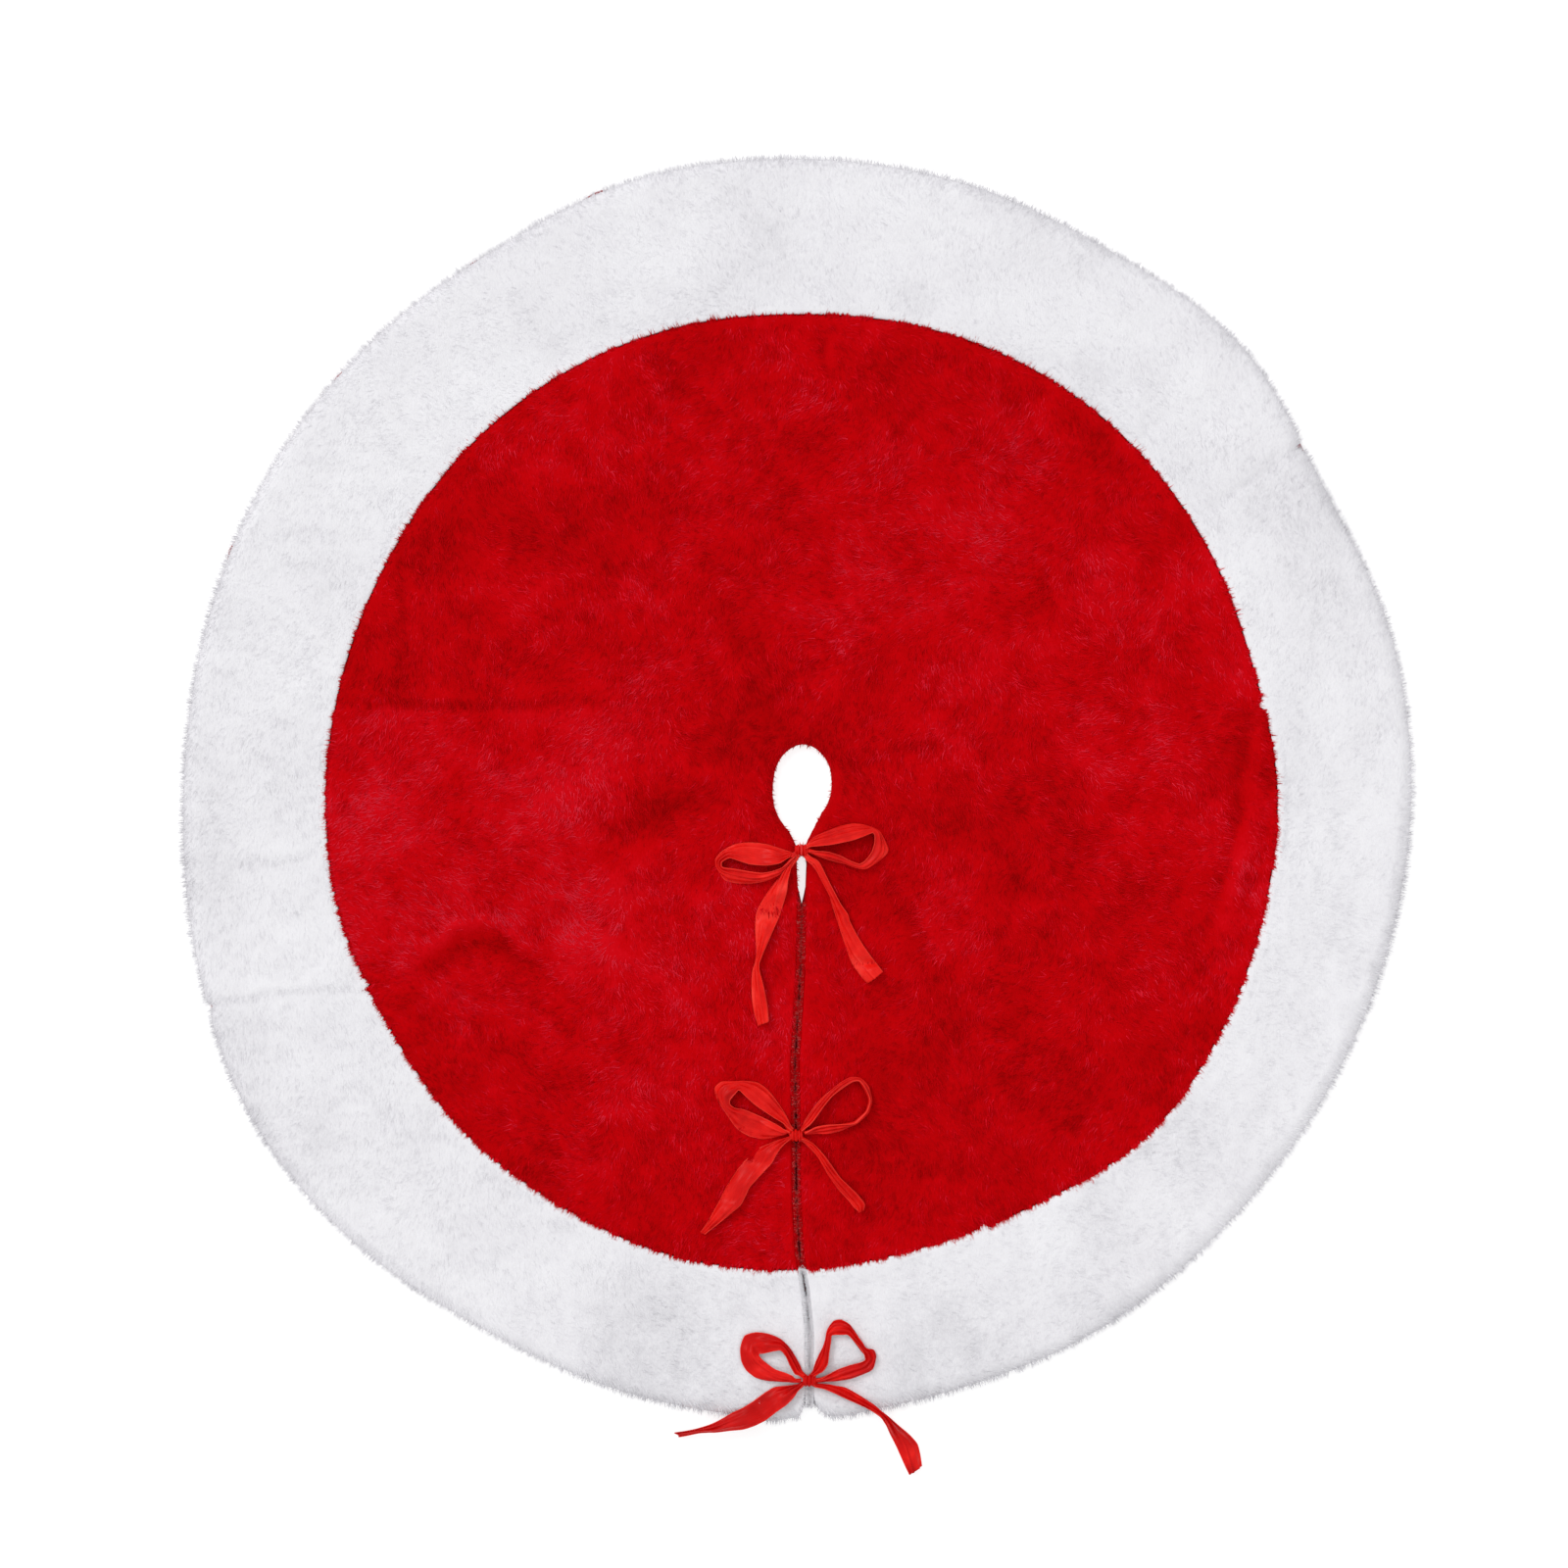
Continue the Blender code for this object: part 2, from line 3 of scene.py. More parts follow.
import bpy
import numpy as np
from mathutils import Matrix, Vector


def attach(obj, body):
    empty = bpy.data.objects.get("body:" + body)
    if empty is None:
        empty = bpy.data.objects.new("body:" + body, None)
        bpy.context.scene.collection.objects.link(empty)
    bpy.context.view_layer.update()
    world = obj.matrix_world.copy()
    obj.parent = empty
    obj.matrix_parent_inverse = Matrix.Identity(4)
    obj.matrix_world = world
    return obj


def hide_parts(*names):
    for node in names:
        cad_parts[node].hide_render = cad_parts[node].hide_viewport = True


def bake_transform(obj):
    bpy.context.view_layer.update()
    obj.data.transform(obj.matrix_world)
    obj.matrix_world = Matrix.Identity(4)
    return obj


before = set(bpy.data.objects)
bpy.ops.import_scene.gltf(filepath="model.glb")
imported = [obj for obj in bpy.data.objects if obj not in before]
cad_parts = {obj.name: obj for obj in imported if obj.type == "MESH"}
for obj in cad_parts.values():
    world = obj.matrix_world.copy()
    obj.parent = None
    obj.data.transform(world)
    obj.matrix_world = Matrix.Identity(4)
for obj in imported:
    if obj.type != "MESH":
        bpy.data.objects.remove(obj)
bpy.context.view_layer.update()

MM = 0.001

# ------------------------------------------------------------------ the cut, as in the CAD
RIM_MM = np.array([600, 599, 593, 613, 609, 615, 618, 619, 608, 608, 607, 605,
                   606, 616, 629, 626, 616, 618, 618, 610, 607, 599, 597, 598], float)
SEAM_MM = np.array([465, 457, 461, 465, 467, 465, 462, 465, 466, 464, 460, 460,
                    463, 466, 464, 469, 470, 473, 470, 464, 467, 479, 474, 468], float)
SLIT_MM = np.array([(-40, 0.5), (-61, 0.8), (-115, 1), (-176, 0), (-244, -4), (-269, -5.5),
                    (-340, -4.5), (-404, -4), (-455, -1), (-493, 5), (-529, 8.5), (-591, 8.5),
                    (-640, 9)], float)
WEDGE_MM = np.array([(-61, 0), (-71, 1.7), (-81, 1.3), (-96, 0.6), (-112, 0), (-640, 0)], float)
OPENING_MM = np.array([(42, 1, 3), (40.5, -5, 10), (37, -11, 16), (32, -16.5, 21), (22, -22.5, 27),
                       (10, -25.5, 29.5), (0, -26.5, 29.5), (-12, -26, 27), (-24, -23, 20),
                       (-34, -17.5, 15), (-42, -11, 11), (-50, -7, 7), (-56, -4.5, 4.5),
                       (-61, -2.0, 3.0)], float)
Z_BOTTOM = 1.6 * MM
Z_RED, Z_WHITE = 11.3 * MM, 12.4 * MM
SLIT_HALF = 2.5 * MM
RIBBON_W = 22 * MM


def ring_value(table, deg):
    n = len(table)
    t = (np.asarray(deg, float) % 360.0) / (360.0 / n)
    i = np.floor(t).astype(int)
    f = t - i
    p0, p1, p2, p3 = (table[(i + k) % n] for k in (-1, 0, 1, 2))
    return 0.5 * (2 * p1 + (p2 - p0) * f + (2 * p0 - 5 * p1 + 4 * p2 - p3) * f * f
                  + (3 * p1 - p0 - 3 * p2 + p3) * f ** 3)


def slit_x(y):
    return np.interp(-np.asarray(y) / MM, -SLIT_MM[:, 0], SLIT_MM[:, 1]) * MM


def slit_half(y):
    return SLIT_HALF + np.interp(-np.asarray(y) / MM, -WEDGE_MM[:, 0], WEDGE_MM[:, 1]) * MM


def rim_r(deg):
    """Visible rim; rounded in beside the slit, with a small notch at each border seam."""
    r = ring_value(RIM_MM, deg) * MM
    deg = np.asarray(deg, float) % 360
    slit = 270.0 + math.degrees(8.5 / 617)
    off = np.radians(np.abs((deg - slit + 180) % 360 - 180)) * r
    left = (deg < slit) & (deg > 180)
    r = r - 15 * MM * np.where(left, np.exp(-((off / (7.5 * MM)) ** 4)), np.exp(-((off / (11 * MM)) ** 2)))
    r = r + 4 * MM * np.exp(-(((deg - 267.2) / 1.6) ** 2)) + 2 * MM * np.exp(-(((deg - 274.3) / 1.5) ** 2))
    for c, depth in ((34.4, 9), (200.3, 7)):
        d = (deg - c + 180) % 360 - 180
        step = np.where(d * (1 if c < 100 else -1) < 0, 0.5, 0.22)
        r = r - depth * MM * np.exp(-np.abs(d) / step) * np.where(d * (1 if c < 100 else -1) < 0, 0.8, 1)
    return r


def seam_r(deg):
    deg = np.asarray(deg, float) % 360
    r = ring_value(SEAM_MM, deg) * MM
    # small steps of the sewing line where the strips meet and where the cloth was eased
    r = r + 4 * MM * np.exp(-(((deg - 204.6) / 0.7) ** 2)) * np.sign(deg - 204.6)
    r = r - 5 * MM * np.exp(-(((deg - 10.2) / 0.5) ** 2))
    r = r - 5 * MM * np.exp(-(((deg - 292.9) / 0.7) ** 2)) * np.sign(292.9 - deg)
    return r


_hole = []
for _y, _l, _r in OPENING_MM:
    _hole += [(_l, _y), (_r, _y)]
_hole = np.array(_hole) * MM
_ang = np.degrees(np.arctan2(_hole[:, 1], _hole[:, 0])) % 360
_rad = np.hypot(_hole[:, 0], _hole[:, 1])
_o = np.argsort(_ang)
_ang, _rad = _ang[_o], _rad[_o]
_ang = np.concatenate([_ang - 360, _ang, _ang + 360])
_rad = np.concatenate([_rad] * 3)


def hole_r(deg):
    return np.interp(np.asarray(deg, float) % 360, _ang, _rad)


# ------------------------------------------------------------------ smooth noise
_LAT = np.random.default_rng(11).uniform(-1, 1, (256, 256))


def noise(x, y, scale, seed=0.0):
    gx = np.asarray(x) / scale + 17.31 * seed + 400
    gy = np.asarray(y) / scale - 9.77 * seed + 400
    ix, iy = np.floor(gx).astype(int), np.floor(gy).astype(int)
    fx, fy = gx - ix, gy - iy
    fx, fy = fx * fx * fx * (fx * (6 * fx - 15) + 10), fy * fy * fy * (fy * (6 * fy - 15) + 10)
    a = _LAT[ix % 256, iy % 256]
    b = _LAT[(ix + 1) % 256, iy % 256]
    c = _LAT[ix % 256, (iy + 1) % 256]
    d = _LAT[(ix + 1) % 256, (iy + 1) % 256]
    return (a * (1 - fx) + b * fx) * (1 - fy) + (c * (1 - fx) + d * fx) * fy


def smooth(e0, e1, v):
    t = np.clip((v - e0) / (e1 - e0), 0, 1)
    return t * t * (3 - 2 * t)


# ------------------------------------------------------------------ folds pressed into the cloth
# points in mm, half-width mm, valley mm, ridge mm on the left side of the way it runs, painted shade along the valley,
# which also sets a painted highlight on the ridge
CREASES = [
    ([(-372, -188), (-350, -165), (-330, -151), (-310, -146), (-290, -153), (-270, -168), (-250, -180)], 9, -3.6, 4.6, -0.42),
    ([(-84, -9), (-124, -24), (-160, -43), (-186, -64), (-203, -84)], 15, -3.0, 2.4, -0.22),
    ([(-240, -120), (-205, -128), (-180, -142), (-160, -160)], 9, -1.6, 2.4, 0.05),
    ([(-210, -170), (-170, -182), (-140, -206), (-120, -232)], 9, -2.0, 2.4, -0.14),
    ([(-70, -62), (-96, -88), (-118, -118)], 9, -1.4, 1.6, -0.12),
    ([(438, 78), (431, 10), (424, -55), (404, -125), (380, -196)], 8, -2.6, 1.8, -0.14),
    ([(78, -84), (104, -128), (131, -178), (150, -215)], 9, -2.2, 2.0, -0.16),
    ([(27, 48), (52, 92), (88, 132), (128, 160)], 10, -1.6, 1.8, -0.08),
    ([(-22, 50), (-46, 96), (-62, 140), (-70, 180)], 10, -1.8, 1.6, -0.12),
    ([(36, 12), (88, 30), (150, 38), (214, 52)], 10, -1.6, 1.4, -0.06),
    ([(-40, 18), (-90, 30), (-140, 62)], 11, -1.6, 1.4, -0.10),
    ([(18, 446), (22, 420), (25, 398)], 5, -2.0, 1.2, -0.16),
    ([(-160, 420), (-120, 404), (-84, 398)], 8, -0.8, 0.8, -0.05),
    ([(280, -100), (240, -96), (196, -112)], 11, -1.2, 1.2, -0.05),
    ([(-392, 250), (-386, 190), (-384, 120)], 6, -0.8, 0.8, -0.10),
    ([(-452, 80), (-380, 81), (-300, 79), (-230, 82), (-168, 78)], 6, -1.4, 0.9, 0.0),
]
WHITE_CREASES = [
    ([(-604, -72), (-540, -74), (-470, -77)], 7, -0.6, 0.3, -0.10),
    ([(-606, -212), (-520, -204), (-420, -195)], 5, -0.9, 0.4, -0.11),
    ([(500, 345), (440, 300), (384, 260)], 5, -0.9, 0.4, -0.10),
]


def along_line(x, y, pts):
    """Distance to a line through pts, signed by side, and how far inside its ends."""
    pts = np.array(pts, float) * MM
    best = np.full(np.shape(x), 1e9)
    side = np.zeros(np.shape(x))
    ends = np.ones(np.shape(x))
    total = np.hypot(*np.diff(pts, axis=0).T).sum()
    run = 0.0
    for p, q in zip(pts[:-1], pts[1:]):
        d = q - p
        L = float(np.hypot(*d))
        t = np.clip(((x - p[0]) * d[0] + (y - p[1]) * d[1]) / (L * L), 0, 1)
        dx, dy = x - (p[0] + d[0] * t), y - (p[1] + d[1] * t)
        dist = np.hypot(dx, dy)
        near = dist < best
        best = np.where(near, dist, best)
        side = np.where(near, np.sign(d[0] * dy - d[1] * dx), side)
        u = (run + t * L) / total
        ends = np.where(near, np.sin(np.pi * np.clip(u, 0.02, 0.98)) ** 0.5, ends)
        run += L
    return best * np.where(side == 0, 1, side), ends


def folds(x, y, table):
    h = np.zeros(np.shape(x))
    shade = np.zeros(np.shape(x))
    wob = 3.0 * MM * noise(x, y, 22 * MM, 5.0)
    for pts, width, valley, ridge, tone in table:
        box = np.array(pts, float) * MM
        pad = 5 * width * MM
        m = ((x > box[:, 0].min() - pad) & (x < box[:, 0].max() + pad)
             & (y > box[:, 1].min() - pad) & (y < box[:, 1].max() + pad))
        if not m.any():
            continue
        s, e = along_line(x[m], y[m], pts)
        s = s + wob[m]
        w = width * MM
        hh = valley * MM * np.exp(-((s / w) ** 2)) + ridge * MM * np.exp(-(((s - 1.7 * w) / (1.3 * w)) ** 2))
        h[m] += hh * e
        # painted shade along the valley and a painted highlight along the ridge, both put into the pile's colour
        shade[m] += e * (tone * np.exp(-(((s + 0.6 * w) / (1.4 * w)) ** 2)) + 0.55 * abs(tone) * np.exp(-(((s - 1.6 * w) / w) ** 2)))
    return h, shade


def edges_of(x, y):
    """Angle, radius and the distances to rim, seam and opening or slit edge."""
    r = np.hypot(x, y)
    th = np.degrees(np.arctan2(y, x)) % 360
    d_rim = rim_r(th) - r
    d_seam = seam_r(th) - r
    d_slit = np.where(y < -58 * MM, np.abs(x - slit_x(y)) - slit_half(y), 1.0)
    d_hole = r - hole_r(th)
    inside = (y < 42 * MM) & (y > -61 * MM)
    lx = np.interp(-y / MM, -OPENING_MM[:, 0], OPENING_MM[:, 1]) * MM
    rx = np.interp(-y / MM, -OPENING_MM[:, 0], OPENING_MM[:, 2]) * MM
    side = np.maximum(lx - x, x - rx)
    d_hole = np.where(inside, np.minimum(d_hole, side), d_hole)
    return r, th, d_rim, d_seam, d_slit, d_hole


def fall(d, rho):
    return np.sqrt(np.clip(1 - (1 - np.clip(d / rho, 0, 1)) ** 2, 0, 1))


def top_z(x, y, white):
    """Height of the pile's surface."""
    r, th, d_rim, d_seam, d_slit, d_hole = edges_of(x, y)
    f = fall(d_slit, (2.6 if white else 4.0) * MM)
    und = (1.1 * noise(x, y, 130 * MM, 1) + 0.7 * noise(x, y, 48 * MM, 2)
           + 0.45 * noise(x, y, 17 * MM, 3) + 0.28 * noise(x, y, 7 * MM, 4)) * MM
    if not white:
        und = und + (0.7 * noise(x, y, 38 * MM, 5) + 0.65 * noise(x, y, 15 * MM, 6)) * MM
    if white:
        fh, _ = folds(x, y, WHITE_CREASES)
        f = f * (0.12 + 0.88 * fall(d_rim - 2.5 * MM, 15 * MM))
        f = f * (0.80 + 0.20 * fall(-d_seam - 0.6 * MM, 5 * MM))
        z0 = Z_WHITE
    else:
        fh, _ = folds(x, y, CREASES)
        f = f * (0.15 + 0.85 * fall(d_hole - 1.5 * MM, 8 * MM))
        f = f * (0.84 + 0.16 * fall(d_seam - 0.6 * MM, 5 * MM))
        z0 = Z_RED
    near = smooth(0, 12 * MM, np.minimum(np.minimum(d_slit, np.abs(d_seam)), np.minimum(d_hole, np.abs(d_rim))))
    return Z_BOTTOM + (z0 - Z_BOTTOM) * np.clip(f, 0.08, 1) + (und + fh) * (0.25 + 0.75 * near)


def pile_tone_with_painted_shade(x, y, white):
    """How light the pile lies, 0 to 1: brushed patches, the pressed line, painted shade in the folds with a painted
    highlight on their ridges, and painted shade along the white border's rim.
    """
    if white:
        _, s = folds(x, y, WHITE_CREASES)
        d_rim = rim_r(np.degrees(np.arctan2(y, x)) % 360) - np.hypot(x, y)
        t = (0.58 + 0.15 * noise(x, y, 90 * MM, 21) + 0.10 * noise(x, y, 34 * MM, 22) + 0.07 * noise(x, y, 13 * MM, 23)
             - 0.20 * smooth(-430 * MM, -560 * MM, y) * smooth(-260 * MM, -160 * MM, x))
        # painted shade in the folds with a painted highlight on their ridges, and painted shade darkening the last few
        # mm inside the rim
        return np.clip(t + s - 0.45 * np.exp(-np.maximum(d_rim - 3 * MM, 0) / (3.5 * MM)), 0, 1)
    _, s = folds(x, y, CREASES)
    t = (0.435 + 0.06 * noise(x, y, 170 * MM, 31) + 0.12 * noise(x, y, 70 * MM, 32)
         + 0.12 * noise(x, y, 27 * MM, 33) + 0.10 * noise(x, y, 11 * MM, 34))
    for cx, cy, rx, ry, tone in ((-350, 0, 120, 80, 0.10), (330, -25, 140, 100, 0.18), (230, -290, 170, 110, -0.12),
                                 (-260, 250, 130, 90, -0.05), (120, 250, 120, 70, 0.06), (-200, -300, 120, 80, 0.05),
                                 (-60, 60, 60, 120, -0.05), (60, -200, 50, 110, -0.08), (-45, -190, 30, 80, 0.12)):
        t = t + tone * np.exp(-((x / MM - cx) / rx) ** 2 - ((y / MM - cy) / ry) ** 2)
    # brushed lighter below the pressed line at the left, and in a band at the right
    left = smooth(-130 * MM, -210 * MM, x) * smooth(84 * MM, 74 * MM, y) * smooth(-260 * MM, -120 * MM, y)
    t = t + 0.16 * left * (1 + 0.5 * noise(x, y, 40 * MM, 35))
    band = np.exp(-(((x - 190 * MM) / (120 * MM)) ** 2 - 0) - ((y - 170 * MM - 0.25 * x) / (70 * MM)) ** 2)
    t = t + 0.10 * band
    low = np.exp(-(((x + 250 * MM) / (110 * MM)) ** 2) - ((y + 130 * MM) / (50 * MM)) ** 2)
    t = t + 0.14 * low
    t = t - 0.10 * smooth(-200 * MM, -330 * MM, y) * smooth(-60 * MM, -130 * MM, x + 0 * y) * 0.6
    t = t - 0.12 * smooth(120 * MM, 30 * MM, np.hypot(x, y))
    # s is painted shade in the folds with a painted highlight on their ridges
    return np.clip(t + s, 0, 1)


# ------------------------------------------------------------------ materials
def new_mat(name, colour, rough, sheen=0.0, sheen_rough=0.5, sheen_tint=(1, 1, 1, 1), spec=0.5):
    m = bpy.data.materials.new(name)
    m.use_nodes = True
    b = m.node_tree.nodes["Principled BSDF"]
    b.inputs["Base Color"].default_value = (*colour, 1)
    b.inputs["Roughness"].default_value = rough
    b.inputs["Specular IOR Level"].default_value = spec
    b.inputs["Sheen Weight"].default_value = sheen
    b.inputs["Sheen Roughness"].default_value = sheen_rough
    b.inputs["Sheen Tint"].default_value = sheen_tint
    return m, m.node_tree.nodes, m.node_tree.links, b


def node(nodes, kind, **values):
    n = nodes.new(kind)
    for k, v in values.items():
        setattr(n, k, v)
    return n


def plush_material(name, dark, mid, light, sheen, spec):
    m, nodes, links, b = new_mat(name, mid, 0.85, sheen, 0.45, (*[min(1, c + 0.25) for c in light], 1), spec)
    # the pile's tone, with the painted shade and highlights of the folds and the painted shade at the rim
    att = node(nodes, "ShaderNodeAttribute", attribute_name="pile_tone_and_shade")
    tex = node(nodes, "ShaderNodeTexCoord")
    mapn = node(nodes, "ShaderNodeMapping")
    mapn.inputs["Scale"].default_value = (1.0, 0.45, 1.0)
    mapn.inputs["Rotation"].default_value = (0, 0, 0.35)
    fine = node(nodes, "ShaderNodeTexNoise")
    fine.inputs["Scale"].default_value = 620
    fine.inputs["Detail"].default_value = 3
    soft = node(nodes, "ShaderNodeTexNoise")
    soft.inputs["Scale"].default_value = 150
    soft.inputs["Detail"].default_value = 2
    links.new(tex.outputs["Object"], mapn.inputs["Vector"])
    links.new(mapn.outputs["Vector"], fine.inputs["Vector"])
    links.new(tex.outputs["Object"], soft.inputs["Vector"])
    a1 = node(nodes, "ShaderNodeMath", operation="MULTIPLY_ADD")
    a1.inputs[1].default_value = 0.55
    links.new(fine.outputs["Fac"], a1.inputs[0])
    links.new(att.outputs["Fac"], a1.inputs[2])
    a2 = node(nodes, "ShaderNodeMath", operation="MULTIPLY_ADD")
    a2.inputs[1].default_value = 0.25
    links.new(soft.outputs["Fac"], a2.inputs[0])
    links.new(a1.outputs[0], a2.inputs[2])
    a3 = node(nodes, "ShaderNodeMath", operation="SUBTRACT", use_clamp=True)
    a3.inputs[1].default_value = 0.40
    links.new(a2.outputs[0], a3.inputs[0])
    ramp = node(nodes, "ShaderNodeValToRGB")
    ramp.color_ramp.elements[0].color = (*dark, 1)
    ramp.color_ramp.elements[1].color = (*light, 1)
    e = ramp.color_ramp.elements.new(0.5)
    e.color = (*mid, 1)
    links.new(a3.outputs[0], ramp.inputs["Fac"])
    links.new(ramp.outputs["Color"], b.inputs["Base Color"])
    bump = node(nodes, "ShaderNodeBump")
    bump.inputs["Strength"].default_value = 0.5
    bump.inputs["Distance"].default_value = 0.0012
    links.new(fine.outputs["Fac"], bump.inputs["Height"])
    links.new(bump.outputs["Normal"], b.inputs["Normal"])
    return m


RED_BASE = plush_material("red_plush_base", (0.36, 0.0001, 0.001), (0.50, 0.0003, 0.0022), (0.62, 0.003, 0.009), 0.0, 0.02)
WHITE_BASE = plush_material("white_plush_base", (0.62, 0.61, 0.64), (0.785, 0.775, 0.805), (0.86, 0.855, 0.88), 0.0, 0.04)

# the two lightest, pinker tones are a painted sheen on the fibre tips; the others are the pile's own colour
RED_TONES_AND_SHEEN = [(0.35, 0.0001, 0.001), (0.43, 0.0002, 0.002), (0.51, 0.0003, 0.003), (0.59, 0.0016, 0.007),
             (0.66, 0.008, 0.022), (0.70, 0.021, 0.044)]
WHITE_TONES = [(0.55, 0.54, 0.57), (0.70, 0.69, 0.72), (0.765, 0.755, 0.785), (0.80, 0.79, 0.82), (0.85, 0.845, 0.87)]


def fibre_material(name, colour, rough, spec, sheen):
    m, nodes, links, b = new_mat(name, colour, rough, sheen, 0.4, (*[min(1, c + 0.3) for c in colour], 1), spec)
    return m


RED_FIBRE = [fibre_material(f"red_fibre_{i}", c, 0.8, 0.03, 0.0) for i, c in enumerate(RED_TONES_AND_SHEEN)]
WHITE_FIBRE = [fibre_material(f"white_fibre_{i}", c, 0.8, 0.06, 0.0) for i, c in enumerate(WHITE_TONES)]


def satin_material():
    m, nodes, links, b = new_mat("satin_ribbon", (0.72, 0.02, 0.012), 0.38, 0.0, 0.3, (1.0, 0.45, 0.40, 1), 0.12)
    b.inputs["Anisotropic"].default_value = 0.35
    uv = node(nodes, "ShaderNodeUVMap", uv_map="ribbon_uv")
    sep = node(nodes, "ShaderNodeSeparateXYZ")
    links.new(uv.outputs["UV"], sep.inputs[0])
    # lengthwise streaks of the warp
    mp = node(nodes, "ShaderNodeMapping")
    mp.inputs["Scale"].default_value = (46.0, 2.2, 1.0)
    links.new(uv.outputs["UV"], mp.inputs["Vector"])
    streak = node(nodes, "ShaderNodeTexNoise")
    streak.inputs["Scale"].default_value = 1.0
    streak.inputs["Detail"].default_value = 4
    links.new(mp.outputs["Vector"], streak.inputs["Vector"])
    tex = node(nodes, "ShaderNodeTexCoord")
    blotch = node(nodes, "ShaderNodeTexNoise")
    blotch.inputs["Scale"].default_value = 85
    blotch.inputs["Detail"].default_value = 2
    links.new(tex.outputs["Object"], blotch.inputs["Vector"])
    both = node(nodes, "ShaderNodeMath", operation="ADD")
    links.new(streak.outputs["Fac"], both.inputs[0])
    links.new(blotch.outputs["Fac"], both.inputs[1])
    add = node(nodes, "ShaderNodeMath", operation="MULTIPLY_ADD")
    add.inputs[1].default_value = 0.60
    add.inputs[2].default_value = 0.40
    links.new(both.outputs[0], add.inputs[0])
    # the pale pink top of the ramp is a painted highlight
    ramp = node(nodes, "ShaderNodeValToRGB")
    ramp.color_ramp.elements[0].position = 0.25
    ramp.color_ramp.elements[0].color = (0.40, 0.0004, 0.0004, 1)
    ramp.color_ramp.elements[1].position = 0.85
    ramp.color_ramp.elements[1].color = (0.90, 0.055, 0.040, 1)
    for at, c in ((0.45, (0.59, 0.0022, 0.0018, 1)), (0.62, (0.79, 0.011, 0.007, 1))):
        ramp.color_ramp.elements.new(at).color = c
    # broad bands of light and shade where the ribbon turns
    tone = node(nodes, "ShaderNodeAttribute", attribute_name="tone")
    shade = node(nodes, "ShaderNodeMath", operation="ADD")
    links.new(add.outputs[0], shade.inputs[0])
    links.new(tone.outputs["Fac"], shade.inputs[1])
    third = node(nodes, "ShaderNodeMath", operation="MULTIPLY")
    third.inputs[1].default_value = 0.5
    links.new(shade.outputs[0], third.inputs[0])
    links.new(third.outputs[0], ramp.inputs["Fac"])
    # selvedges catch the light
    edge = node(nodes, "ShaderNodeMath", operation="SUBTRACT")
    edge.inputs[1].default_value = 0.5
    links.new(sep.outputs["X"], edge.inputs[0])
    ab = node(nodes, "ShaderNodeMath", operation="ABSOLUTE")
    links.new(edge.outputs[0], ab.inputs[0])
    mr = node(nodes, "ShaderNodeMapRange")
    mr.inputs["From Min"].default_value = 0.455
    mr.inputs["From Max"].default_value = 0.485
    links.new(ab.outputs[0], mr.inputs["Value"])
    mix = node(nodes, "ShaderNodeMix", data_type="RGBA")
    mix.inputs["B"].default_value = (0.82, 0.035, 0.022, 1)
    links.new(mr.outputs["Result"], mix.inputs["Factor"])
    links.new(ramp.outputs["Color"], mix.inputs["A"])
    links.new(mix.outputs["Result"], b.inputs["Base Color"])
    bump = node(nodes, "ShaderNodeBump")
    bump.inputs["Strength"].default_value = 0.25
    bump.inputs["Distance"].default_value = 0.0003
    links.new(streak.outputs["Fac"], bump.inputs["Height"])
    links.new(bump.outputs["Normal"], b.inputs["Normal"])
    return m


def cloth_material(name, a, c, pitch, rough):
    m, nodes, links, b = new_mat(name, a, rough, 0.0, 0.5, (1, 0.6, 0.6, 1), 0.12)
    tex = node(nodes, "ShaderNodeTexCoord")
    w1 = node(nodes, "ShaderNodeTexWave", bands_direction="X")
    w1.inputs["Scale"].default_value = pitch
    w2 = node(nodes, "ShaderNodeTexWave", bands_direction="Y")
    w2.inputs["Scale"].default_value = pitch
    nz = node(nodes, "ShaderNodeTexNoise")
    nz.inputs["Scale"].default_value = 60
    for w in (w1, w2, nz):
        links.new(tex.outputs["Object"], w.inputs["Vector"])
    mul = node(nodes, "ShaderNodeMath", operation="MULTIPLY")
    links.new(w1.outputs["Fac"], mul.inputs[0])
    links.new(w2.outputs["Fac"], mul.inputs[1])
    av = node(nodes, "ShaderNodeMath", operation="MULTIPLY_ADD", use_clamp=True)
    av.inputs[1].default_value = 0.5
    links.new(mul.outputs[0], av.inputs[0])
    links.new(nz.outputs["Fac"], av.inputs[2])
    ramp = node(nodes, "ShaderNodeValToRGB")
    ramp.color_ramp.elements[0].color = (*a, 1)
    ramp.color_ramp.elements[1].color = (*c, 1)
    links.new(av.outputs[0], ramp.inputs["Fac"])
    links.new(ramp.outputs["Color"], b.inputs["Base Color"])
    bump = node(nodes, "ShaderNodeBump")
    bump.inputs["Strength"].default_value = 0.4
    bump.inputs["Distance"].default_value = 0.0002
    links.new(mul.outputs[0], bump.inputs["Height"])
    links.new(bump.outputs["Normal"], b.inputs["Normal"])
    return m


SATIN = satin_material()
LINING = cloth_material("lining_cloth", (0.24, 0.004, 0.008), (0.40, 0.010, 0.018), 420.0, 0.85)
THREAD = cloth_material("sewing_thread", (0.40, 0.005, 0.01), (0.62, 0.02, 0.03), 1500.0, 0.6)


# ------------------------------------------------------------------ mesh helpers
def make_mesh(name, verts, corners, starts, mats, smooth_shade=True):
    me = bpy.data.meshes.new(name)
    me.vertices.add(len(verts))
    me.vertices.foreach_set("co", np.ascontiguousarray(verts, np.float32).ravel())
    me.loops.add(len(corners))
    me.loops.foreach_set("vertex_index", np.ascontiguousarray(corners, np.int32))
    me.polygons.add(len(starts))
    me.polygons.foreach_set("loop_start", np.ascontiguousarray(starts, np.int32))
    me.polygons.foreach_set("use_smooth", np.full(len(starts), smooth_shade))
    me.update(calc_edges=True)
    for m in mats:
        me.materials.append(m)
    ob = bpy.data.objects.new(name, me)
    bpy.context.scene.collection.objects.link(ob)
    return ob


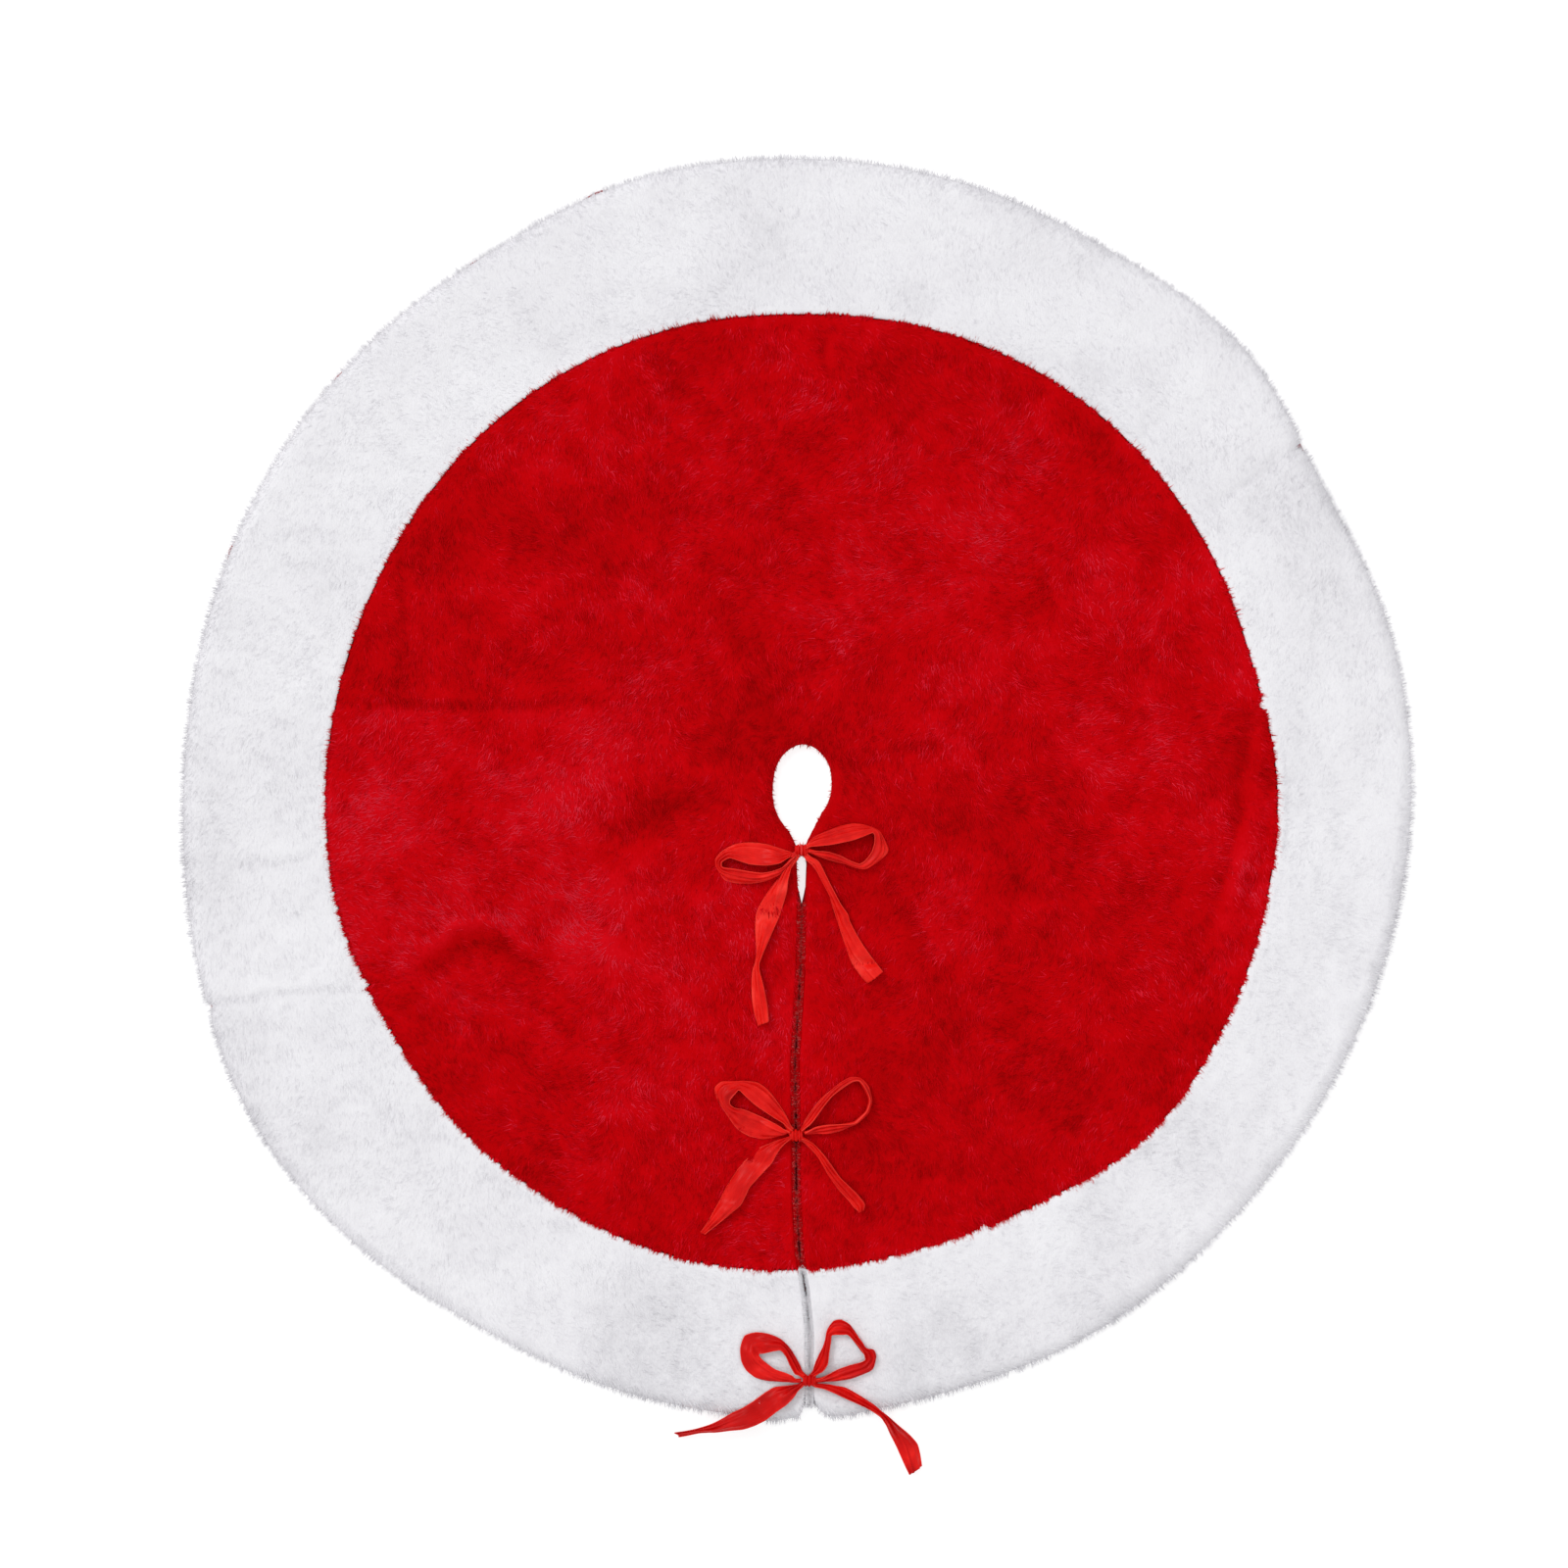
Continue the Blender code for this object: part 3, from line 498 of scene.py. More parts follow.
def volume_sign(ob):
    me = ob.data
    me.calc_loop_triangles()
    n = len(me.loop_triangles)
    t = np.empty(n * 3, np.int32)
    me.loop_triangles.foreach_get("vertices", t)
    t = t.reshape(-1, 3)
    co = np.empty(len(me.vertices) * 3, np.float32)
    me.vertices.foreach_get("co", co)
    co = co.reshape(-1, 3).astype(float)
    a, b, c = co[t[:, 0]], co[t[:, 1]], co[t[:, 2]]
    return float(np.einsum("ij,ij->", a, np.cross(b, c)))


def closed_grid(name, X, Y, Ztop, z_bottom, mats, attrs=None, bends=False):
    """A closed sheet: a grid for its top, walls all round, and below one flat face or, if it bends, a grid."""
    ni, nj = X.shape
    idx = np.arange(ni * nj).reshape(ni, nj)
    top = np.stack([X, Y, Ztop], -1).reshape(-1, 3)
    ring = np.concatenate([idx[0, :-1], idx[:-1, -1], idx[-1, ::-1][:-1], idx[::-1, 0][:-1]])
    base = len(top)
    nr = len(ring)
    k = np.arange(nr)
    copied = np.arange(base) if bends else ring
    low = top[copied].copy()
    low[:, 2] = np.minimum(z_bottom, low[:, 2] - 0.0002)
    under = base + (ring if bends else k)
    q = np.stack([idx[:-1, :-1], idx[1:, :-1], idx[1:, 1:], idx[:-1, 1:]], -1).reshape(-1, 4)
    w = np.stack([ring, np.roll(ring, -1), np.roll(under, -1), under], -1)
    if bends:
        corners = np.concatenate([q.ravel(), w.ravel(), (q[:, ::-1] + base).ravel()])
        starts = np.arange(len(corners) // 4) * 4
    else:
        corners = np.concatenate([q.ravel(), w.ravel(), under[::-1]])
        starts = np.arange(len(q) + len(w) + 1) * 4
    ob = make_mesh(name, np.concatenate([top, low]), corners, starts, mats)
    if volume_sign(ob) < 0:
        ob.data.flip_normals()
    if attrs is not None:
        # the pile's tone, painted shade of folds and rim included
        a = ob.data.attributes.new("pile_tone_and_shade", "FLOAT", "POINT")
        full = np.concatenate([attrs.ravel(), attrs.ravel()[copied]])
        a.data.foreach_set("value", full.astype(np.float32))
    # the walls and the underside keep a hard edge
    flat = np.zeros(len(starts), bool)
    flat[: len(q)] = True
    ob.data.polygons.foreach_set("use_smooth", flat)
    return ob


def spaced(length, step, fine):
    """Distances from 0 to length: fine near both ends, then even."""
    ends = [d for d in fine if d < length / 2]
    inner = np.linspace(ends[-1], length - ends[-1], max(2, int(round((length - 2 * ends[-1]) / step)) + 1))
    return np.concatenate([ends[:-1], inner, [length - d for d in ends[:-1]][::-1]]) / length


STEP = 3.2 * MM
FINE = [0, 0.5 * MM, 1.4 * MM, 2.8 * MM, 4.8 * MM, 7.5 * MM, 10.5 * MM]


def patch(part, white):
    """Plan grid of one piece of plush: part is back, left or right."""
    inset_rim, half_seam = 3.0 * MM, 0.8 * MM
    if white:
        inner = lambda d: seam_r(d) + 0.5 * MM
        outer = lambda d: rim_r(d) - inset_rim
        length, r_mid = 142 * MM, 0.55
    else:
        inner = lambda d: hole_r(d) + 0.4 * MM
        outer = lambda d: seam_r(d) - 0.6 * MM
        length, r_mid = 430 * MM, 0.42
    s = spaced(length, STEP, FINE)[None, :]
    if part == "back":
        n = int(math.pi * r_mid / STEP)
        th = np.concatenate([[0, 0.008], np.linspace(0, 180, n)[1:-1], [179.992, 180]])[:, None]
        r = inner(th) + s * (outer(th) - inner(th))
        x, y = r * np.cos(np.radians(th)), r * np.sin(np.radians(th))
        y[0, :] = y[-1, :] = 0.0
        return x, y
    n = int(math.pi / 2 * r_mid / STEP)
    t = np.linspace(0, 1, n)
    close = np.array([0.0022, 0.0052, 0.0095, 0.0155]) if not white else np.array([0.001, 0.0026, 0.0048, 0.0078, 0.0115])
    t = np.unique(np.concatenate([t, 1 - close, [0.008 / 90], np.linspace(0.2, 2.4, 12) / 90]))[:, None]
    sgn = -1 if part == "left" else 1
    start = 180.0 if part == "left" else 360.0
    th = start + t * (270.0 - start) + 0 * s
    for _ in range(12):
        r = inner(th) + s * (outer(th) - inner(th))
        ye = -np.sqrt(np.maximum(r ** 2 - slit_x(-r) ** 2, 1e-9))
        xe = slit_x(ye) + sgn * (slit_half(ye) + 0.9 * MM)
        end = 270.0 + np.degrees(np.arcsin(np.clip(xe / r, -1, 1)))
        th = start + t * (end - start)
    r = inner(th) + s * (outer(th) - inner(th))
    x, y = r * np.cos(np.radians(th)), r * np.sin(np.radians(th))
    y[0, :] = 0.0
    return x, y


def place(ob, part):
    if part == "back":
        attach(ob, "back_half")
    else:
        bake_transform(ob)


for white in (False, True):
    for part in ("back", "left", "right"):
        x, y = patch(part, white)
        z = top_z(x, y, white)
        z = np.maximum(z, Z_BOTTOM + 0.5 * MM)
        name = ("white_border_" if white else "red_plush_") + part + "_cloth"
        ob = closed_grid(name, x, y, z, Z_BOTTOM, [WHITE_BASE if white else RED_BASE], pile_tone_with_painted_shade(x, y, white),
                         bends=part != "back")
        place(ob, part)


# ------------------------------------------------------------------ pile
rng = np.random.default_rng(2024)


def fibres(name, root, direction, length, width, mat):
    """Closed three-sided fibres, each from its root to a point."""
    n = len(root)
    d = direction / np.linalg.norm(direction, axis=1, keepdims=True)
    up = np.tile(np.array([0.0, 0.0, 1.0]), (n, 1))
    s = np.cross(d, up)
    s /= np.maximum(np.linalg.norm(s, axis=1, keepdims=True), 1e-6)
    m = np.cross(s, d)
    verts = np.empty((n, 4, 3))
    for k, a in enumerate((30, 150, 270)):
        ca, sa = math.cos(math.radians(a)), math.sin(math.radians(a))
        verts[:, k] = root + (s * ca + m * sa * 0.45) * (width[:, None] / 2)
    verts[:, 3] = root + d * length[:, None]
    verts = verts.reshape(-1, 3)
    verts[:, 2] = np.maximum(verts[:, 2], 0.0003)
    base = (np.arange(n) * 4)[:, None]
    f = np.array([[1, 0, 3], [2, 1, 3], [0, 2, 3], [0, 1, 2]])
    corners = (base[:, None, :] + f[None]).reshape(-1)
    return make_mesh(name, verts, corners, np.arange(n * 4) * 3, [mat], smooth_shade=False)


def part_of(x, y):
    return np.where(y >= 0, 0, np.where(x < slit_x(y), 1, 2))


def flow(x, y, white):
    """Which way the pile lies, in radians, in plan."""
    if white:
        out = np.arctan2(y, x)
        a = out + 0.75 + 1.0 * noise(x, y, 160 * MM, 41) + 0.7 * noise(x, y, 45 * MM, 42)
        return a
    a = -1.9 + 1.6 * noise(x, y, 210 * MM, 43) + 1.15 * noise(x, y, 62 * MM, 44) + 0.45 * noise(x, y, 20 * MM, 45)
    left = smooth(-150 * MM, -230 * MM, x) * smooth(84 * MM, 76 * MM, y)
    return a - 0.6 * left


def grow(white, per_mm2, length_mm, width_mm, rise_deg):
    r_out = 0.63
    n = int((2 * r_out * 1000) ** 2 * per_mm2)
    x = rng.uniform(-r_out, r_out, n)
    y = rng.uniform(-0.635, 0.635, n)
    r, th, d_rim, d_seam, d_slit, d_hole = edges_of(x, y)
    ok = (d_slit > 1.0 * MM) & (d_hole > 0.8 * MM)
    ok &= ((d_seam < -0.9 * MM) & (d_rim > 3.2 * MM)) if white else (d_seam > 0.9 * MM)
    x, y = x[ok], y[ok]
    r, th, d_rim, d_seam, d_slit, d_hole = (v[ok] for v in (r, th, d_rim, d_seam, d_slit, d_hole))
    n = len(x)
    z = top_z(x, y, white)
    a = flow(x, y, white) + rng.normal(0, 0.30, n)
    # near an edge the pile leans over it
    out = np.radians(th)
    lean = np.zeros(n)
    aim = np.zeros(n)
    if white:
        k = smooth(16 * MM, 2 * MM, d_rim)
        lean, aim = k, out
        k2 = 0.6 * smooth(9 * MM, 0.5 * MM, -d_seam)
        aim = np.where(k2 > lean, out, aim)
        lean = np.maximum(lean, k2)
    else:
        k2 = 0.9 * smooth(12 * MM, 0.5 * MM, d_seam)
        lean, aim = k2, out
        k3 = (0.40 + 0.45 * np.clip(noise(x, y, 7 * MM, 55), 0, 1)) * smooth(10 * MM, 1 * MM, d_hole)
        aim = np.where(k3 > lean, out + np.pi, aim)
        lean = np.maximum(lean, k3)
    if white:
        k4 = (0.35 + 0.55 * smooth(-0.488, -0.530, y)) * smooth(8 * MM, 0.5 * MM, d_slit)
    else:
        k4 = (0.30 + 0.6 * np.clip(noise(y, 0 * y, 9 * MM, 54), 0, 1)) * smooth(6 * MM, 0.5 * MM, d_slit)
    aim = np.where(k4 > lean, np.where(x < slit_x(y), 0.0, np.pi), aim)
    lean = np.maximum(lean, k4)
    ca = np.cos(a) * (1 - lean) + np.cos(aim) * lean
    sa = np.sin(a) * (1 - lean) + np.sin(aim) * lean
    a = np.arctan2(sa, ca) + rng.normal(0, 0.12, n)
    rise = np.radians(rise_deg + rng.normal(0, 4 if white else 8, n) + (2 if white else 8) * noise(x, y, 30 * MM, 51))
    rise = np.clip(rise, np.radians(2), np.radians(60))
    L = length_mm * MM * rng.uniform(0.7, 1.25, n)
    near = np.minimum(d_slit, d_hole)
    L = L * ((0.62 if white else 0.46) + (0.38 if white else 0.54) * smooth(0, 9 * MM, near))
    w = width_mm * MM * rng.uniform(0.6, 1.3, n)
    root = np.stack([x, y, z - (0.5 if white else 0.7) * MM], -1)
    root[:, 2] = np.maximum(root[:, 2], 0.8 * MM)
    d = np.stack([np.cos(a) * np.cos(rise), np.sin(a) * np.cos(rise), np.sin(rise)], -1)
    # the fibres take the pile's tone too, with the painted shade and highlights of the folds and the rim
    tone = pile_tone_with_painted_shade(x, y, white)
    if white:
        tone = tone + 0.08 + rng.normal(0, 0.11, n) + 0.10 * noise(x, y, 6 * MM, 52)
    else:
        tone = tone + rng.normal(0, 0.12, n) + 0.12 * noise(x, y, 11 * MM, 52) + 0.14 * noise(x, y, 4.5 * MM, 53)
    return root, d, L, w, np.clip(tone, 0, 0.999), part_of(x, y)


def pile(white, per_mm2, length_mm, width_mm, rise_deg):
    root, d, L, w, tone, part = grow(white, per_mm2, length_mm, width_mm, rise_deg)
    mats = WHITE_FIBRE if white else RED_FIBRE
    bins = (tone * len(mats)).astype(int)
    made = 0
    for p, pname in enumerate(("back", "left", "right")):
        for b in range(len(mats)):
            m = (part == p) & (bins == b)
            if m.sum() < 20:
                continue
            ob = fibres(("white" if white else "red") + f"_pile_{pname}_{b}", root[m], d[m], L[m], w[m], mats[b])
            place(ob, pname)
            piles[(white, pname)].append(ob)
            made += int(m.sum())
    print("pile", "white" if white else "red", made)


piles = {(w, p): [] for w in (False, True) for p in ("back", "left", "right")}
DENS = 1.0
pile(False, 0.22 * DENS, 8.8, 1.15, 13)
pile(True, 0.22 * DENS, 7.6, 0.85, 7)


def rim_fringe():
    """Pile that stands out past the rim."""
    n = int(3830 / 0.42 * DENS)
    th = rng.uniform(0, 360, n)
    r = rim_r(th) - rng.uniform(2.0, 6.5, n) * MM
    x, y = r * np.cos(np.radians(th)), r * np.sin(np.radians(th))
    ok = np.abs(x - slit_x(y)) - slit_half(y) > 1.5 * MM
    ok |= y > 0
    x, y, th = x[ok], y[ok], th[ok]
    n = len(x)
    a = np.radians(th) + 0.35 * noise(x, y, 24 * MM, 61) + rng.normal(0, 0.30, n)
    rise = np.radians(rng.uniform(-18, 30, n))
    zr = rng.uniform(1.0, 8.5, n)
    root = np.stack([x, y, zr * MM], -1)
    d = np.stack([np.cos(a) * np.cos(rise), np.sin(a) * np.cos(rise), np.sin(rise)], -1)
    L = rng.uniform(3.0, 7.0, n) * MM
    w = rng.uniform(0.5, 0.9, n) * MM
    part = part_of(x, y)
    # the lower fibres take the darkest grey, painted shade under the rim's edge; the upper ones a lighter grey
    pick = np.where(zr + rng.normal(0, 1.5, n) < 4.5, 0, 1)
    for p, pname in enumerate(("back", "left", "right")):
        for b in (0, 1):
            m = (part == p) & (pick == b)
            ob = fibres(f"rim_fringe_{pname}_{b}", root[m], d[m], L[m], w[m], WHITE_FIBRE[b])
            place(ob, pname)
            piles[(True, pname)].append(ob)


rim_fringe()

SLIT_FIBRE = [fibre_material("slit_shadow_red", (0.55, 0.080, 0.078), 0.85, 0.02, 0.0),
              fibre_material("slit_shadow_grey", (0.36, 0.335, 0.355), 0.85, 0.02, 0.0)]


def seam_tufts():
    """Tufts of red pile that lie over the border's inner edge, thicker in the lower half."""
    n = int(13000 * DENS)
    th = rng.uniform(0, 360, n)
    low = smooth(30, -30, np.degrees(np.arcsin(np.sin(np.radians(th)))))
    clump = noise(th * 1.0, 0 * th, 0.9, 81) + 0.7 * noise(th, 0 * th, 0.35, 82)
    keep = clump > 0.25 - 0.5 * low + rng.normal(0, 0.12, n)
    th, clump, low = th[keep], clump[keep], low[keep]
    r = seam_r(th) - rng.uniform(0.3, 2.6, len(th)) * MM
    x, y = r * np.cos(np.radians(th)), r * np.sin(np.radians(th))
    ok = (np.abs(x - slit_x(y)) - slit_half(y) > 1.5 * MM) | (y > 0)
    x, y, th, low, clump = x[ok], y[ok], th[ok], low[ok], clump[ok]
    n = len(x)
    a = np.radians(th) + 0.5 * noise(x, y, 9 * MM, 83) + rng.normal(0, 0.18, n)
    L = (rng.uniform(2.4, 4.8, n) + 1.2 * low + 1.6 * low * np.clip(clump, 0, 1.2)) * MM
    w = rng.uniform(1.1, 1.9, n) * MM
    root = np.stack([x, y, top_z(x, y, False) - 0.3 * MM], -1)
    tx, ty = x + np.cos(a) * L, y + np.sin(a) * L
    out = np.hypot(tx, ty) > seam_r(np.degrees(np.arctan2(ty, tx)) % 360)
    tip = np.stack([tx, ty, top_z(tx, ty, False) + 0.6 * MM], -1)
    tip[out, 2] = top_z(tx[out], ty[out], True) + 0.35 * MM
    d = tip - root
    L = np.linalg.norm(d, axis=1)
    part = part_of(x, y)
    pick = rng.integers(0, 3, n)
    for p, pname in enumerate(("back", "left", "right")):
        for b in range(3):
            m = (part == p) & (pick == b)
            ob = fibres(f"seam_tufts_{pname}_{b}", root[m], d[m], L[m], w[m], RED_FIBRE[b + 1])
            place(ob, pname)
            piles[(False, pname)].append(ob)


def slit_fringe():
    """Pile standing across the slit from both edges."""
    n = int(32000 * DENS)
    y = np.where(rng.random(n) < 0.72, rng.uniform(-0.604, -0.112, n), rng.uniform(-0.604, -0.468, n))
    left = rng.random(n) < 0.5
    sgn = np.where(left, -1.0, 1.0)
    r = np.hypot(slit_x(y), y)
    white = r > seam_r(270.0 + np.degrees(slit_x(y) / r))
    x = slit_x(y) + sgn * (slit_half(y) + rng.uniform(0.9, 1.6, n) * MM)
    z = np.where(white, rng.uniform(5.0, 12.0, n), rng.uniform(5.0, 10.5, n)) * MM
    a = np.where(left, 0.0, np.pi) + rng.normal(0, 0.55, n)
    rise = np.radians(rng.uniform(-20, 25, n))
    root = np.stack([x, y, z], -1)
    d = np.stack([np.cos(a) * np.cos(rise), np.sin(a) * np.cos(rise), np.sin(rise)], -1)
    closing = smooth(-0.480, -0.560, y)
    L = (rng.uniform(2.3, 5.2, n) + 1.7 * noise(y, 0 * y, 6 * MM, 91) + 0.3 * white + 1.3 * closing) * MM
    L = np.maximum(L, 0.8 * MM)
    w = rng.uniform(0.45, 0.85, n) * MM
    deep = z + rng.normal(0, 1.6, n) * MM < np.where(white, 7.0, 8.0) * MM
    kind = np.where(white, np.where(deep & (rng.random(n) > 0.6 * closing), 3, 2), np.where(deep, 1, 0))
    mats = (RED_FIBRE[1], SLIT_FIBRE[0], WHITE_FIBRE[1], SLIT_FIBRE[1])
    for pname, side in (("left", left), ("right", ~left)):
        for k in range(4):
            m = side & (kind == k)
            ob = fibres(f"slit_fringe_{pname}_{k}", root[m], d[m], L[m], w[m], mats[k])
            place(ob, pname)
            piles[(k > 1, pname)].append(ob)


seam_tufts()
slit_fringe()


# ------------------------------------------------------------------ lining
def lining(part):
    def hem(d):
        d = np.asarray(d, float)
        plain = ring_value(RIM_MM, d) * MM - 5.0 * MM + 0.9 * MM * np.sin(np.radians(d * 23))
        for c, out, wide in ((108.9, 5.2, 1.6), (121.9, 4.8, 1.3), (138.3, 5.4, 0.9), (157.3, 4.8, 1.2)):
            plain = plain + out * MM * np.exp(-(((d - c) / wide) ** 2))
        return np.where(np.abs(d % 360 - 270.8) < 4, np.minimum(plain, rim_r(d) - 7 * MM), plain)

    inner = lambda d: hole_r(d) + 3.5 * MM
    s = spaced(560 * MM, 9 * MM, [0, 1 * MM, 3 * MM, 6 * MM])[None, :]
    if part == "back":
        th = np.linspace(0, 180, 240)[:, None]
        r = inner(th) + s * (hem(th) - inner(th))
        x, y = r * np.cos(np.radians(th)), r * np.sin(np.radians(th))
        y[0, :] = y[-1, :] = 0.0
    else:
        sgn = -1 if part == "left" else 1
        start = 180.0 if part == "left" else 360.0
        t = np.unique(np.concatenate([np.linspace(0, 1, 120), np.linspace(0.2, 2.4, 12) / 90]))[:, None]
        th = start + t * (270.0 - start) + 0 * s
        for _ in range(12):
            r = inner(th) + s * (hem(th) - inner(th))
            ye = -np.sqrt(np.maximum(r ** 2 - slit_x(-r) ** 2, 1e-9))
            wedge = slit_half(ye) - SLIT_HALF
            xe = slit_x(ye) + sgn * (wedge + SLIT_HALF + 0.6 * MM) * smooth(0.1 * MM, 0.4 * MM, wedge)
            th = start + t * (270.0 + np.degrees(np.arcsin(np.clip(xe / r, -1, 1))) - start)
        r = inner(th) + s * (hem(th) - inner(th))
        x, y = r * np.cos(np.radians(th)), r * np.sin(np.radians(th))
        y[0, :] = 0.0
    z = 1.0 * MM + 0.18 * MM * noise(x, y, 60 * MM, 71)
    z = z + 0.22 * MM * (s > 0.985)
    ob = closed_grid("lining_" + part + "_cloth", x, y, z, 0.05 * MM, [LINING], bends=part != "back")
    place(ob, part)
    return ob


linings = {p: lining(p) for p in ("back", "left", "right")}

CUT = {"back": (1.21, 0.62), "left": (0.61, 0.62), "right": (0.61, 0.62)}
sector = {"back": 0.57, "left": 0.29, "right": 0.29}
for p, body in (("back", "back"), ("left", "left_flap"), ("right", "right_flap")):
    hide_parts("lining_" + body)
    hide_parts("red_plush_" + body)
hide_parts("white_border_back", "white_border_back_right")
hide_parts("white_border_left_upper", "white_border_left_lower")
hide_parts("white_border_right")


